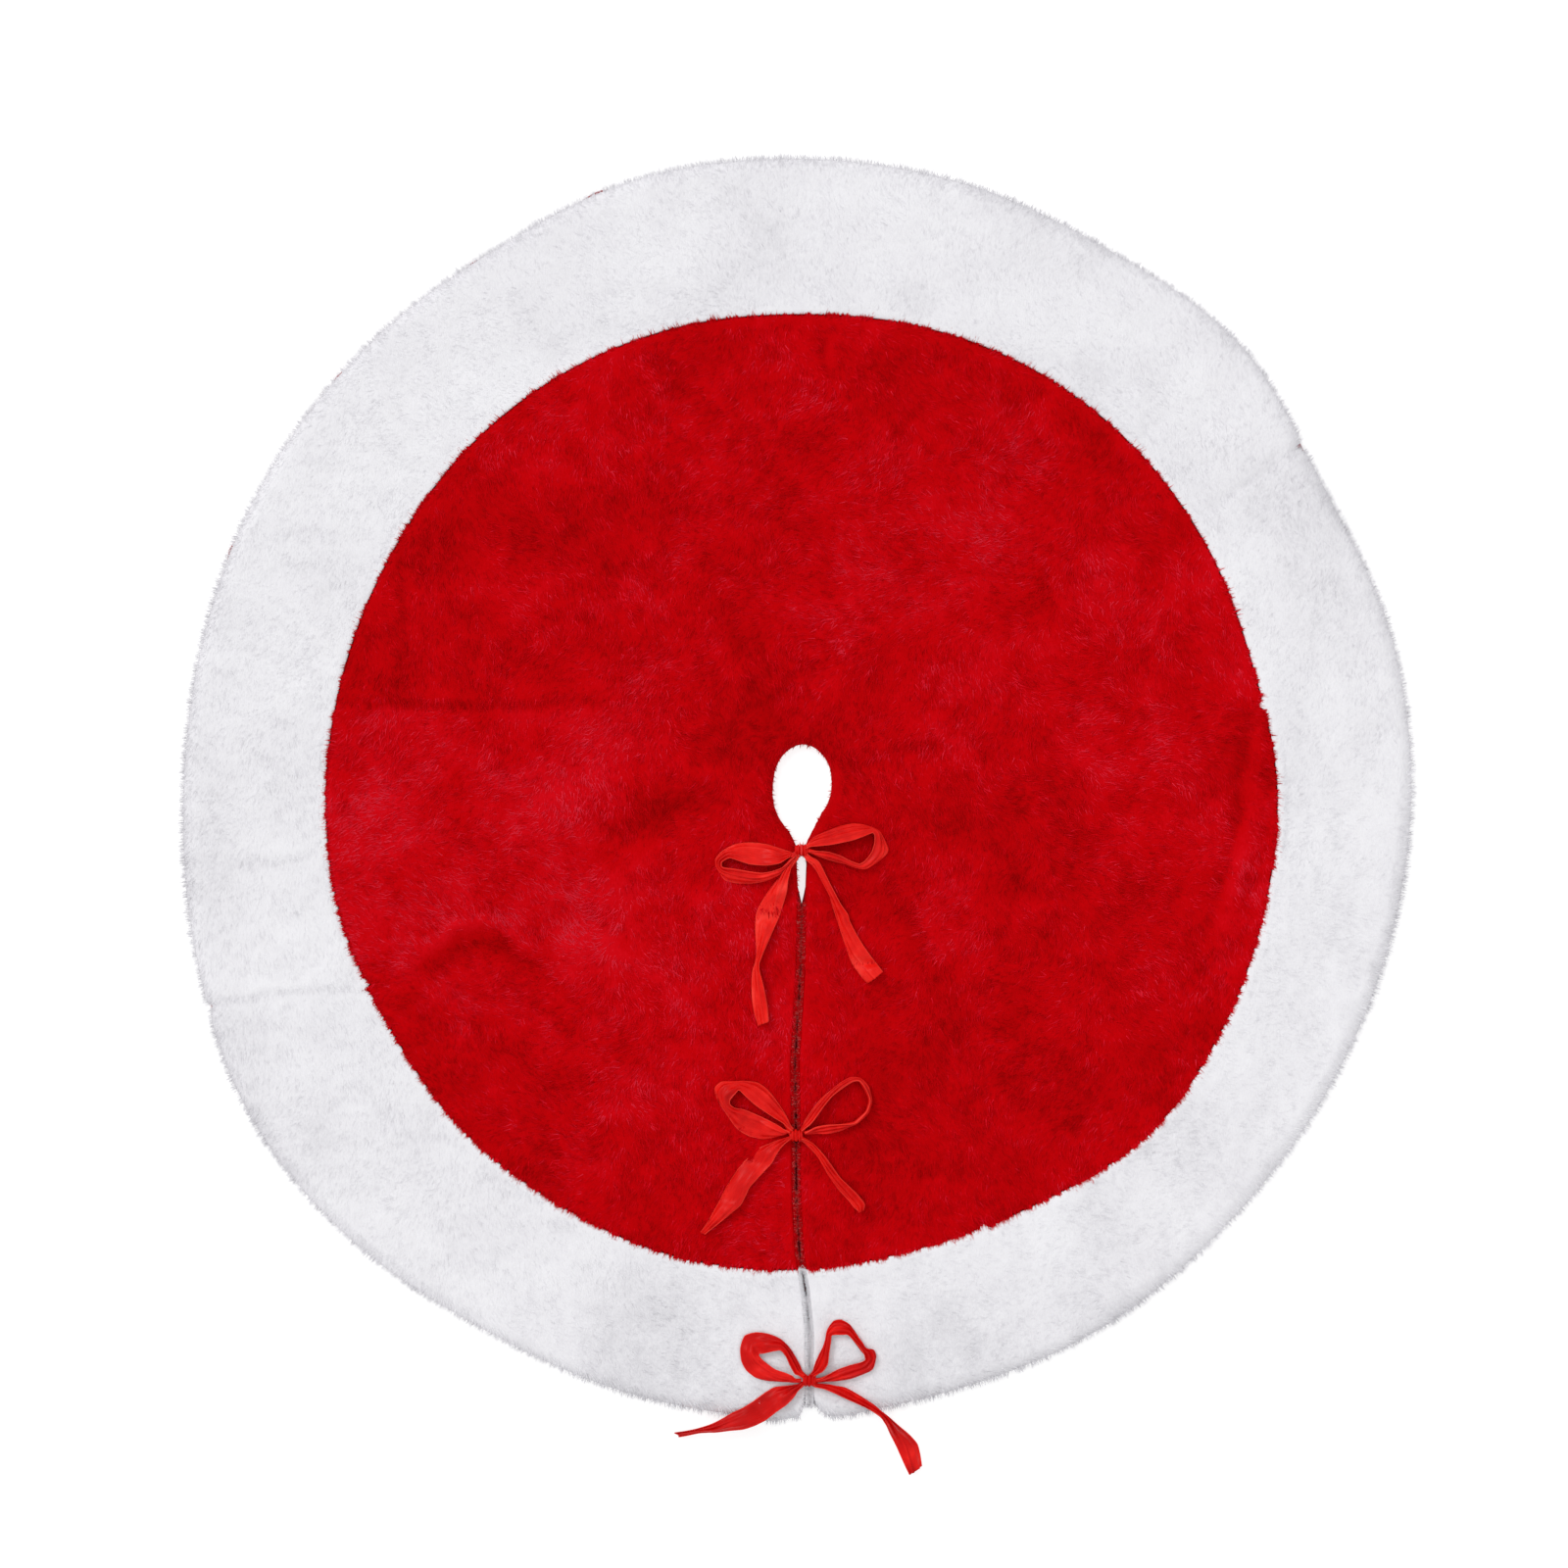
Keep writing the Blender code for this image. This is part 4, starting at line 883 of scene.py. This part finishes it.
# ------------------------------------------------------------------ ribbons
BOWS = {
    "bow1": {"knot": (0.8, -60.7), "top": "red",
        "left_loop": [(-8.5, -3, -9, -6), (-19, 0.5, -20.5, -13), (-33.5, 5.5, -33.5, -15),
            (-49.5, 7.5, -49.5, -14), (-64.5, 5.5, -61.5, -10.5), (-77, -1, -70, -8),
            (-84, -9, -77, -11.5), (-83, -16, -77.5, -15.5), (-79.5, -23, -74.5, -17),
            (-74.5, -29.5, -64.5, -18), (-63, -32, -49.5, -20.5), (-49.5, -32, -39.5, -21.5),
            (-36.5, -29.5, -30.5, -20), (-25, -24.5, -21, -16.5), (-17, -17, -15.5, -12.5),
            (-11.5, -10, -10.5, -8)],
        "right_loop": [(7.5, 6, 8, 3.5), (13, 12.5, 16, 4), (25, 18.5, 28, 5), (38, 23, 39.5, 7),
            (49.5, 25.5, 51, 9.5), (60, 24.5, 60.5, 13), (68, 21, 69, 16.5), (75.5, 17.5, 71, 14),
            (81, 9.5, 71, 7), (84.5, 0.5, 68.5, -1), (82, -4.5, 65, -6.5), (74.5, -10.5, 60.5, -11),
            (66.5, -15.5, 55.5, -13), (55.5, -16, 48.5, -10), (42.5, -12.5, 38, -4.5),
            (28, -9, 26.5, -0.5), (17, -5, 17.5, 0.5), (9, -1.5, 9.5, 0)],
        "left_tail": [(-7, -8, -4, -9.5), (-11, -14, -8, -15), (-16, -21, -10, -21.5),
            (-24, -30, -12.5, -29.5), (-33, -41.5, -14, -40), (-41, -54, -17.5, -52),
            (-44.5, -63.5, -21.5, -64.5), (-45, -76, -26.5, -76), (-44, -89, -32, -89),
            (-43.5, -101, -37.5, -102.5), (-44.5, -109.5, -40, -110), (-47, -118.5, -40, -117),
            (-48, -128.5, -37.5, -127.5), (-48, -143.5, -34.5, -142), (-46, -157.5, -32.5, -155),
            (-42, -171.5, -31.5, -167)],
        "right_tail": [(5.5, -9, 9, -7), (11, -14, 16, -11), (16, -20.5, 21, -19), (20, -28, 25, -27),
            (25, -36.5, 29.5, -36), (28, -44, 34, -44), (30.5, -52.5, 39.5, -53.5),
            (33.5, -63, 45.5, -62), (36, -70, 47.5, -69), (39.5, -82, 54, -82),
            (43, -93.5, 60.5, -93), (46, -102.5, 66, -101), (50, -112, 72.5, -109.5),
            (57, -121.5, 76, -114), (64.5, -130, 79.5, -118.5)]},
    "bow2": {"knot": (-3.7, -338.8), "top": "red",
        "left_loop": [(-7.5, 10, -10, 8), (-11, 18.5, -14, 12), (-16.5, 28, -23, 17.5),
            (-23, 37.5, -32.5, 24), (-30, 45.5, -41.5, 30.5), (-38.5, 51, -50, 38),
            (-49.5, 52, -56.5, 44), (-62, 52, -59, 42), (-73.5, 52, -62, 38.5), (-80, 46, -65, 34.5),
            (-77.5, 36, -64.5, 30.5), (-71, 25, -60, 27.5), (-64, 14, -52, 26), (-57, 5, -44, 22.5),
            (-46.5, -1, -35, 18.5), (-35, -3.5, -26, 14.5), (-25, -2.5, -17.5, 10),
            (-14.5, 1.5, -12, 6), (-9.5, 3.5, -9, 5)],
        "right_loop": [(6.5, 10, 9.5, 7.5), (8.5, 14.5, 13, 10), (14.5, 23.5, 20, 18.5),
            (22.5, 33.5, 27.5, 29), (31.5, 42, 36, 39), (41.5, 50, 45.5, 47), (52, 55, 54, 52.5),
            (61, 54.5, 60.5, 52.5), (68, 46, 66, 45), (71.5, 34, 70, 34), (69, 23.5, 67.5, 24.5),
            (64, 17.5, 62.5, 18.5), (57, 11.5, 56.5, 13), (43, 5, 43, 12), (29, 1.5, 30, 11),
            (17.5, 1.5, 18.5, 8.5), (10, 2.5, 10.5, 4.5)],
        "left_tail": [(-9.5, -3, -7.5, -5.5), (-17.5, -5, -12, -9), (-26, -8, -16, -13),
            (-35, -11.5, -20, -19), (-43, -16.5, -24.5, -27), (-50.5, -24.5, -31.5, -34.5),
            (-57, -32.5, -38.5, -42), (-64, -43, -46, -50.5), (-70, -53, -50, -59),
            (-75.5, -64, -55, -68), (-81.5, -75, -64.5, -76), (-87.5, -86, -75, -85),
            (-94, -95.5, -89, -96.5)],
        "right_tail": [(7, -5.5, 9.5, -3), (12, -10.5, 18, -8), (20, -20, 26, -17.5),
            (27, -31.5, 35, -29.5), (34, -42, 43, -40.5), (41.5, -53, 51, -48.5),
            (50, -62.5, 59.5, -57), (56.5, -70.5, 66.5, -66), (62, -74.5, 66, -72.5)]},
    "bow3": {"knot": (7.1, -577.3), "top": "white",
        "left_loop": [(-6, 8.5, -9, 5), (-8, 14, -13, 6.5), (-13.5, 24, -17.5, 14),
            (-19, 32, -21.5, 23), (-27.5, 40, -27, 29), (-38, 44.5, -35.5, 28), (-50.5, 46.5, -43.5, 26),
            (-62, 43, -47.5, 25.5), (-66, 31, -47, 23), (-65, 18.5, -43.5, 19.5),
            (-60.5, 9.5, -39.5, 16), (-51.5, 2.5, -32, 11), (-40, -0.5, -23, 8), (-25.5, -1, -15.5, 5.5),
            (-14.5, -0.5, -12, 2.5), (-9.5, -0.5, -9, 1.5)],
        "right_loop": [(5.5, 8.5, 9, 5.5), (7.5, 16, 15, 9), (11.5, 25, 19.5, 16), (16, 33.5, 21, 27.5),
            (18.5, 41.5, 22.5, 37), (20, 49.5, 23, 43.5), (25, 57, 26.5, 44.5), (32, 58.5, 32.5, 44.5),
            (40, 54, 38.5, 44.5), (47, 44, 43.5, 39.5), (52, 35.5, 49, 33.5), (55.5, 29.5, 53, 28),
            (63.5, 29, 55, 24), (66, 23, 55.5, 20), (63, 11, 50.5, 17.5), (54, 6, 40, 15),
            (41.5, 1.5, 29, 11), (27.5, -0.5, 20.5, 6.5), (17, -0.5, 15.5, 3.5), (9.5, -0.5, 10, 1.5)],
        "left_tail": [(-9, -4.5, -7, -8), (-15, -5.5, -10, -11), (-24, -6, -14, -17),
            (-33.5, -7.5, -21, -24), (-43.5, -13.5, -31, -31), (-53, -20.5, -40.5, -39),
            (-63.5, -27.5, -51.5, -44), (-73.5, -32, -63, -48), (-83, -37.5, -77, -49.5),
            (-94.5, -43.5, -91, -51.5), (-108.5, -49, -104.5, -52.5), (-121, -52.5, -116.5, -55.5),
            (-130.5, -54.5, -125.5, -57.5)],
        "right_tail": [(9.5, -4.5, 7.5, -7), (20.5, -5.5, 16, -9), (35.5, -7.5, 26.5, -13),
            (45, -12.5, 38, -18.5), (55.5, -19, 50.5, -24.5), (65.5, -26, 62, -30),
            (72.5, -32, 70, -35.5), (80.5, -38, 75.5, -44), (90, -47, 80.5, -55), (100, -56.5, 86.5, -67),
            (107, -64.5, 91.5, -78), (109.5, -73.5, 95, -86), (111.5, -86, 99, -94.5)]},
}


def curve_through(P, step):
    """Smooth curve through points, evenly spaced along it."""
    P = np.asarray(P, float)
    Q = np.vstack([2 * P[0] - P[1], P, 2 * P[-1] - P[-2]])
    out = []
    for i in range(1, len(Q) - 2):
        p0, p1, p2, p3 = Q[i - 1], Q[i], Q[i + 1], Q[i + 2]
        for f in np.linspace(0, 1, 8, endpoint=False):
            soft = 0.5 * (2 * p1 + (p2 - p0) * f + (2 * p0 - 5 * p1 + 4 * p2 - p3) * f * f
                          + (3 * p1 - p0 - 3 * p2 + p3) * f ** 3)
            out.append(0.6 * soft + 0.4 * (p1 + (p2 - p1) * f))
    out.append(Q[-2])
    out = np.array(out)
    mid = (out[:, :3] + out[:, 3:]) / 2
    s = np.concatenate([[0], np.cumsum(np.linalg.norm(np.diff(mid, axis=0), axis=1))])
    n = max(12, int(s[-1] / step))
    t = np.linspace(0, s[-1], n)
    return np.stack([np.interp(t, s, out[:, k]) for k in range(6)], -1), t


RIBBON_TONE = {"bow1": 0.08, "bow2": 0.03, "bow3": -0.14}


def set_tone(ob, values):
    a = ob.data.attributes.new("tone", "FLOAT", "POINT")
    a.data.foreach_set("value", np.asarray(values, np.float32).ravel())


def ribbon(name, stations, knot, z_rest, loop, body, drape=False, seed=1):
    st = np.array(stations, float) * MM
    st = np.vstack([st[:1] * 0.52, st] + ([st[-1:] * 0.70] if loop else []))
    o, q = st[:, :2], st[:, 2:]
    mid = (o + q) / 2
    reach = np.hypot(*mid.T)
    width = np.minimum(RIBBON_W, 6 * MM + 0.75 * np.maximum(0, reach - 8 * MM))
    plan = np.hypot(*(o - q).T)
    lift = np.sqrt(np.maximum(0, width ** 2 - plan ** 2))
    lift = np.minimum(lift, ((7 if loop else 5) if name[:4] != "bow3" else 4.2) * MM)
    if loop:
        k = np.array([0.25, 0.5, 0.25])
        lift[1:-1] = np.convolve(lift, k, "valid")
    low = z_rest + 0.9 * MM + 2.2 * MM * np.exp(-reach / (12 * MM))
    A = np.column_stack([o, low])
    B = np.column_stack([q, low + lift])
    A[:, :2] += knot
    B[:, :2] += knot
    AB, t = curve_through(np.hstack([A, B]), 1.3 * MM)
    if drape:
        for c in (0, 3):
            x, y = AB[:, c], AB[:, c + 1]
            deg = np.degrees(np.arctan2(y, x))
            past = np.hypot(x, y) - ring_value(RIM_MM, deg) * MM
            u = np.clip((past - 1 * MM) / (30 * MM), 0, 1)
            AB[:, c + 2] -= (12.7 * MM) * u * u * (3 - 2 * u)
    a, b = AB[:, :3], AB[:, 3:]
    chord = b - a
    c0 = np.linalg.norm(chord, axis=1)
    cm = (a + b) / 2
    tan = np.gradient(cm, axis=0)
    tan /= np.linalg.norm(tan, axis=1, keepdims=True)
    nrm = np.cross(tan, chord)
    nrm /= np.maximum(np.linalg.norm(nrm, axis=1, keepdims=True), 1e-9)
    if loop:
        # the loop's outside bulges away from its middle
        centre = cm.mean(0)
        sign = np.sign(np.einsum("ij,ij->i", nrm, cm - centre) + 1e-9)
        nrm *= np.where(np.abs(nrm[:, 2]) > 0.75, np.sign(nrm[:, 2]), sign)[:, None]
    else:
        nrm *= np.where(nrm[:, 2] < 0, -1, 1)[:, None]
    for _ in range(3):
        nrm[1:-1] = (nrm[:-2] + 2 * nrm[1:-1] + nrm[2:]) / 4
    nrm /= np.maximum(np.linalg.norm(nrm, axis=1, keepdims=True), 1e-9)
    rr = np.hypot(cm[:, 0] - knot[0], cm[:, 1] - knot[1])
    W = np.minimum(RIBBON_W, 6 * MM + 0.75 * np.maximum(0, rr - 8 * MM))
    steep = np.abs(chord[:, 2]) / np.maximum(c0, 1e-6)
    h = np.sqrt(np.maximum(0, 0.375 * c0 * (W - c0)))
    h = np.minimum(h, (4.5 * (1 - steep) + 0.7) * MM)
    h = np.convolve(np.pad(h, 3, "edge"), np.ones(7) / 7, "valid")
    nc = 25
    u = np.linspace(0, 1, nc)[None, :, None]
    P = a[:, None] + chord[:, None] * u + nrm[:, None] * (h[:, None, None] * 4 * u * (1 - u))
    bulged = c0 * (1 + 8 / 3 * (h / np.maximum(c0, 1e-4)) ** 2)
    pleat = np.sqrt(np.maximum(0, RIBBON_W ** 2 - bulged ** 2)) / (4 * 3) * 0.95
    pleat = np.convolve(np.pad(pleat, 10, "edge"), np.ones(21) / 21, "valid")
    # gathers at the knot, a lengthwise crease and soft ripples
    uu = u[0, :, 0][None, :]
    phase = 0.9 * noise(t, 0 * t, 26 * MM, seed + 13)[:, None]
    dis = pleat[:, None] * np.cos((uu + 0.05 * np.sin(2 * np.pi * uu + seed)) * 2 * np.pi * 3 + phase)
    ripple = 0.40 * MM * noise(t[:, None] + 0 * uu, uu * 14 * MM, 9 * MM, seed + 3)
    ripple += 0.9 * MM * noise(t[:, None] + 0 * uu, uu * 10 * MM, 24 * MM, seed + 7)
    line = 0.5 + 0.28 * np.sin(t / (34 * MM) + seed * 1.7)[:, None]
    crease = 0.8 * MM * np.exp(-((uu - line) / 0.055) ** 2) * smooth(10 * MM, 30 * MM, rr)[:, None]
    amp = smooth(0, 0.10, np.minimum(uu, 1 - uu)) * 0.8 + 0.2
    P = P + nrm[:, None] * (dis + (ripple + crease) * smooth(4 * MM, 22 * MM, rr)[:, None] * amp)[..., None]
    if not loop:
        # a cut end, slightly askew with loose threads of the weave
        jag = 0.5 * MM * noise(uu * 22 * MM, 0 * uu, 1.7 * MM, seed + 11)[0]
        P[-1] += tan[-1] * jag[:, None]
    n = len(P)
    # normals of the strip
    du = np.gradient(P, axis=0)
    dv = np.gradient(P, axis=1)
    N = np.cross(du, dv)
    N /= np.maximum(np.linalg.norm(N, axis=2, keepdims=True), 1e-12)
    edge = np.minimum(uu, 1 - uu) * RIBBON_W
    th = (0.16 + 0.20 * np.exp(-(edge / (0.7 * MM)) ** 2)) * MM
    th = (th + np.zeros((n, 1)))[..., None]
    top, bot = P + N * th, P - N * th
    floor_z = 0.25 * MM
    for arr in (top, bot):
        arr[..., 2] = np.maximum(arr[..., 2], floor_z)
    idx = np.arange(n * nc).reshape(n, nc)
    off = n * nc
    q1 = np.stack([idx[:-1, :-1], idx[1:, :-1], idx[1:, 1:], idx[:-1, 1:]], -1).reshape(-1, 4)
    q2 = q1[:, ::-1] + off
    ring = np.concatenate([idx[0, :-1], idx[:-1, -1], idx[-1, ::-1][:-1], idx[::-1, 0][:-1]])
    wall = np.stack([ring, np.roll(ring, -1), np.roll(ring, -1) + off, ring + off], -1)
    quads = np.concatenate([q1, q2, wall])
    verts = np.concatenate([top.reshape(-1, 3), bot.reshape(-1, 3)])
    ob = make_mesh(name, verts, quads.ravel(), np.arange(len(quads)) * 4, [SATIN])
    if volume_sign(ob) < 0:
        ob.data.flip_normals()
    # painted light and shade: broad bands where it turns, one edge lighter than the other, a painted highlight beside
    # painted shade at the crease line, and painted shade between the gathers at the knot
    tt = t[:, None] + 0 * uu
    tone = 0.22 * noise(tt + uu * 12 * MM, 0 * tt, 21 * MM, seed + 21) + 0.07 * noise(tt - uu * 9 * MM, 0 * tt, 7 * MM, seed + 22)
    tone = tone + 0.30 * (uu - 0.5) * 2 * noise(t, 0 * t, 30 * MM, seed + 23)[:, None]
    tone = tone + 0.16 * (np.exp(-((uu - line - 0.03) / 0.03) ** 2) - np.exp(-((uu - line + 0.03) / 0.03) ** 2))
    tone = tone + 0.20 * np.exp(-rr / (14 * MM))[:, None] * np.cos(2 * np.pi * 3.5 * uu + seed)
    if loop:
        # at the loop's far turn a painted highlight on the outer half and painted shade on the inner half
        turn = np.exp(-((t / t[-1] - 0.5) / 0.10) ** 2)[:, None]
        tone = tone + turn * (0.16 * smooth(0.45, 0.15, uu) - 0.30 * smooth(0.55, 0.75, uu))
    tone = np.where(tone < 0, 0.6 * tone, tone) + RIBBON_TONE[name[:4]] + (0.12 if name[:4] == "bow1" and not loop else 0)
    set_tone(ob, np.concatenate([tone.ravel(), tone.ravel()]))
    uvl = ob.data.uv_layers.new(name="ribbon_uv")
    vi = np.empty(len(ob.data.loops), np.int32)
    ob.data.loops.foreach_get("vertex_index", vi)
    vi = vi % off
    uv = np.stack([(vi % nc) / (nc - 1), t[vi // nc] / RIBBON_W], -1)
    uvl.data.foreach_set("uv", uv.astype(np.float32).ravel())
    area = float(np.linalg.norm(np.cross(P[1:, :-1] - P[:-1, :-1], P[:-1, 1:] - P[:-1, :-1]), axis=-1).sum())
    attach(ob, body)
    print("RIBBON", name, "length", round(float(t[-1]) * 1000, 1), "share", round(area / (RIBBON_W * float(t[-1])), 2))
    return ob


def knot_half(name, x0, cy, z0, side, body, seed):
    """Half of a tight knot: ribbon wound round and round, crinkled."""
    nu, nv = 40, 26
    w, l, hgt = 6.6 * MM, 11.5 * MM, 8.2 * MM
    U, V = np.meshgrid(np.linspace(0, 2 * np.pi, nu, endpoint=False), np.linspace(0, 1, nv), indexing="ij")
    # V runs from the slit outwards; the section is a rounded rectangle that closes at the outer end
    shrink = np.sqrt(np.clip(1 - (V * 0.93) ** 3.2, 0, 1))
    sx = np.sign(np.cos(U)) * np.abs(np.cos(U)) ** 0.75
    sz = np.sign(np.sin(U)) * np.abs(np.sin(U)) ** 0.75
    wrap = 0.42 * MM * np.cos(2 * np.pi * (V * 2.1 + 0.13 * np.sin(U + seed))) + 0.28 * MM * np.cos(5 * U + 7 * V + seed)
    pinch = 1 - 0.14 * np.exp(-((V - 0.28) / 0.12) ** 2)
    Y = cy + sx * (l / 2 * pinch + wrap) * shrink
    Z = z0 + hgt / 2 + sz * (hgt / 2 * pinch + wrap) * shrink
    X = x0 + side * (0.04 * MM + V * w)
    verts = np.stack([X, Y, np.maximum(Z, z0)], -1).reshape(-1, 3)
    idx = np.arange(nu * nv).reshape(nu, nv)
    q = np.stack([idx[:, :-1], idx[:, 1:], np.roll(idx, -1, 0)[:, 1:], np.roll(idx, -1, 0)[:, :-1]], -1).reshape(-1, 4)
    c0, c1 = len(verts), len(verts) + 1
    verts = np.vstack([verts, verts[idx[:, 0]].mean(0), verts[idx[:, -1]].mean(0)])
    t0 = np.stack([idx[:, 0], np.roll(idx[:, 0], -1), np.full(nu, c0)], -1)
    t1 = np.stack([np.roll(idx[:, -1], -1), idx[:, -1], np.full(nu, c1)], -1)
    corners = np.concatenate([q.ravel(), t0.ravel(), t1.ravel()])
    starts = np.concatenate([np.arange(len(q)) * 4, len(q) * 4 + np.arange(2 * nu) * 3])
    ob = make_mesh(name, verts, corners, starts, [SATIN])
    if volume_sign(ob) < 0:
        ob.data.flip_normals()
    uvl = ob.data.uv_layers.new(name="ribbon_uv")
    vi = np.empty(len(ob.data.loops), np.int32)
    ob.data.loops.foreach_get("vertex_index", vi)
    vi = np.minimum(vi, nu * nv - 1)
    # painted shade in the pinch and between the wraps; the two end-cap centres are set darker too
    painted_wrap_shade = -0.25 * np.exp(-((V - 0.28) / 0.10) ** 2) - 0.22 * np.exp(-((V - 0.66) / 0.10) ** 2) + RIBBON_TONE[name[:4]]
    set_tone(ob, np.concatenate([painted_wrap_shade.ravel(), [-0.2, -0.2]]))
    uv = np.stack([0.08 + 0.84 * (vi % nv) / nv, (vi // nv) / nu * 1.6], -1)
    uvl.data.foreach_set("uv", uv.astype(np.float32).ravel())
    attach(ob, body)
    return ob


def sewn_end(name, edge, slit, cy, z_top, z_knot, side, body, seed):
    """The ribbon's root, gathered, standing in the slit against the flap's edge."""
    rows = [(edge - side * 0.8 * MM, 3.0 * MM, 8.0), (edge - side * 0.85 * MM, z_top - 4 * MM, 7.0),
            (slit + side * 1.3 * MM, z_top - 1.6 * MM, 5.5), (slit + side * 0.8 * MM, z_knot - 0.5 * MM, 4.0)]
    A = np.array([(x, cy + h * MM, z, x, cy - h * MM, z) for x, z, h in rows])
    AB, t = curve_through(A, 0.8 * MM)
    a, b = AB[:, :3], AB[:, 3:]
    nc = 17
    u = np.linspace(0, 1, nc)
    P = a[:, None] + (b - a)[:, None] * u[None, :, None]
    P[..., 0] += 0.22 * MM * np.sin(u * 2 * np.pi * 5 + seed)[None, :]
    n = len(P)
    N = np.zeros_like(P)
    N[..., 0] = side
    top, bot = P + N * 0.15 * MM, P - N * 0.15 * MM
    idx = np.arange(n * nc).reshape(n, nc)
    off = n * nc
    q1 = np.stack([idx[:-1, :-1], idx[1:, :-1], idx[1:, 1:], idx[:-1, 1:]], -1).reshape(-1, 4)
    q2 = q1[:, ::-1] + off
    ring = np.concatenate([idx[0, :-1], idx[:-1, -1], idx[-1, ::-1][:-1], idx[::-1, 0][:-1]])
    wall = np.stack([ring, np.roll(ring, -1), np.roll(ring, -1) + off, ring + off], -1)
    quads = np.concatenate([q1, q2, wall])
    ob = make_mesh(name, np.concatenate([top.reshape(-1, 3), bot.reshape(-1, 3)]), quads.ravel(),
                   np.arange(len(quads)) * 4, [SATIN])
    if volume_sign(ob) < 0:
        ob.data.flip_normals()
    uvl = ob.data.uv_layers.new(name="ribbon_uv")
    vi = np.empty(len(ob.data.loops), np.int32)
    ob.data.loops.foreach_get("vertex_index", vi)
    vi = vi % off
    uvl.data.foreach_set("uv", np.stack([(vi % nc) / (nc - 1), t[vi // nc] / RIBBON_W], -1).astype(np.float32).ravel())
    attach(ob, body)
    return ob


seed = 1
for bow, data in BOWS.items():
    knot = np.array(data["knot"]) * MM
    z_top = (11.5 if data["top"] == "red" else 12.5) * MM
    for side, sname in ((-1, "left"), (1, "right")):
        flap = sname + "_flap"
        sx_ = float(slit_x(knot[1]))
        edge = sx_ + side * float(slit_half(knot[1]))
        k = knot_half(f"{bow}_{sname}_knot", sx_, knot[1], z_top + 0.3 * MM, side, flap, seed)
        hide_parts(f"{bow}_{sname}_knot_half")
        e = sewn_end(f"{bow}_{sname}_root", edge, sx_, knot[1], z_top, z_top + 0.3 * MM, side, flap, seed)
        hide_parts(f"{bow}_{sname}_sewn_end")
        for kind in ("loop", "tail"):
            seed += 1
            body = f"{bow}_{sname}_{kind}"
            rb = ribbon(body + "_ribbon", data[f"{sname}_{kind}"], knot, z_top, kind == "loop", body,
                        drape=bow == "bow3" and kind == "tail", seed=seed)
            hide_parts(body)

# the joining thread keeps its CAD solid and gets a twisted-thread finish
for n in ("border_seam_thread_back", "border_seam_thread_left_flap", "border_seam_thread_right_flap"):
    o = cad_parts[n]
    if not o.material_slots:
        o.data.materials.append(THREAD)
    for slot in o.material_slots:
        slot.link = "OBJECT"
        slot.material = THREAD

# ------------------------------------------------------------------ floor, light and camera
bpy.ops.mesh.primitive_plane_add(size=14, location=(0, 0, 0))
floor = bpy.context.active_object
floor.name = "studio_floor"
fm, nodes, links, b = new_mat("studio_floor", (0.42, 0.42, 0.42), 0.9, spec=0.05)
b.inputs["Emission Color"].default_value = (1, 1, 1, 1)
b.inputs["Emission Strength"].default_value = 0.68
floor.data.materials.append(fm)


def sun(name, direction, strength, soft):
    li = bpy.data.lights.new(name, "SUN")
    li.energy = strength
    li.angle = math.radians(soft)
    o = bpy.data.objects.new(name, li)
    bpy.context.scene.collection.objects.link(o)
    o.location = (0, 0, 4)
    o.rotation_mode = "QUATERNION"
    o.rotation_quaternion = Vector(direction).to_track_quat("-Z", "Y")
    return o


sun("key", (0.62, -0.62, -0.72), 1.15, 22)
sun("top", (-0.15, 0.1, -1), 0.30, 60)

world = bpy.data.worlds.new("studio")
bpy.context.scene.world = world
world.use_nodes = True
bg = world.node_tree.nodes["Background"]
bg.inputs["Color"].default_value = (1, 1, 1, 1)
bg.inputs["Strength"].default_value = 0.74

cam_data = bpy.data.cameras.new("camera")
cam = bpy.data.objects.new("camera", cam_data)
bpy.context.scene.collection.objects.link(cam)
cam_data.lens = 85
cam_data.sensor_width = 36
cam.location = (-0.01625, 0.0038, 3.612 + 0.012)
cam.rotation_euler = (0, 0, 0)
cam_data.clip_end = 50
bpy.context.scene.camera = cam
bpy.context.scene.view_settings.view_transform = "Standard"
bpy.context.scene.view_settings.look = "None"
bpy.context.scene.view_settings.exposure = 0.0
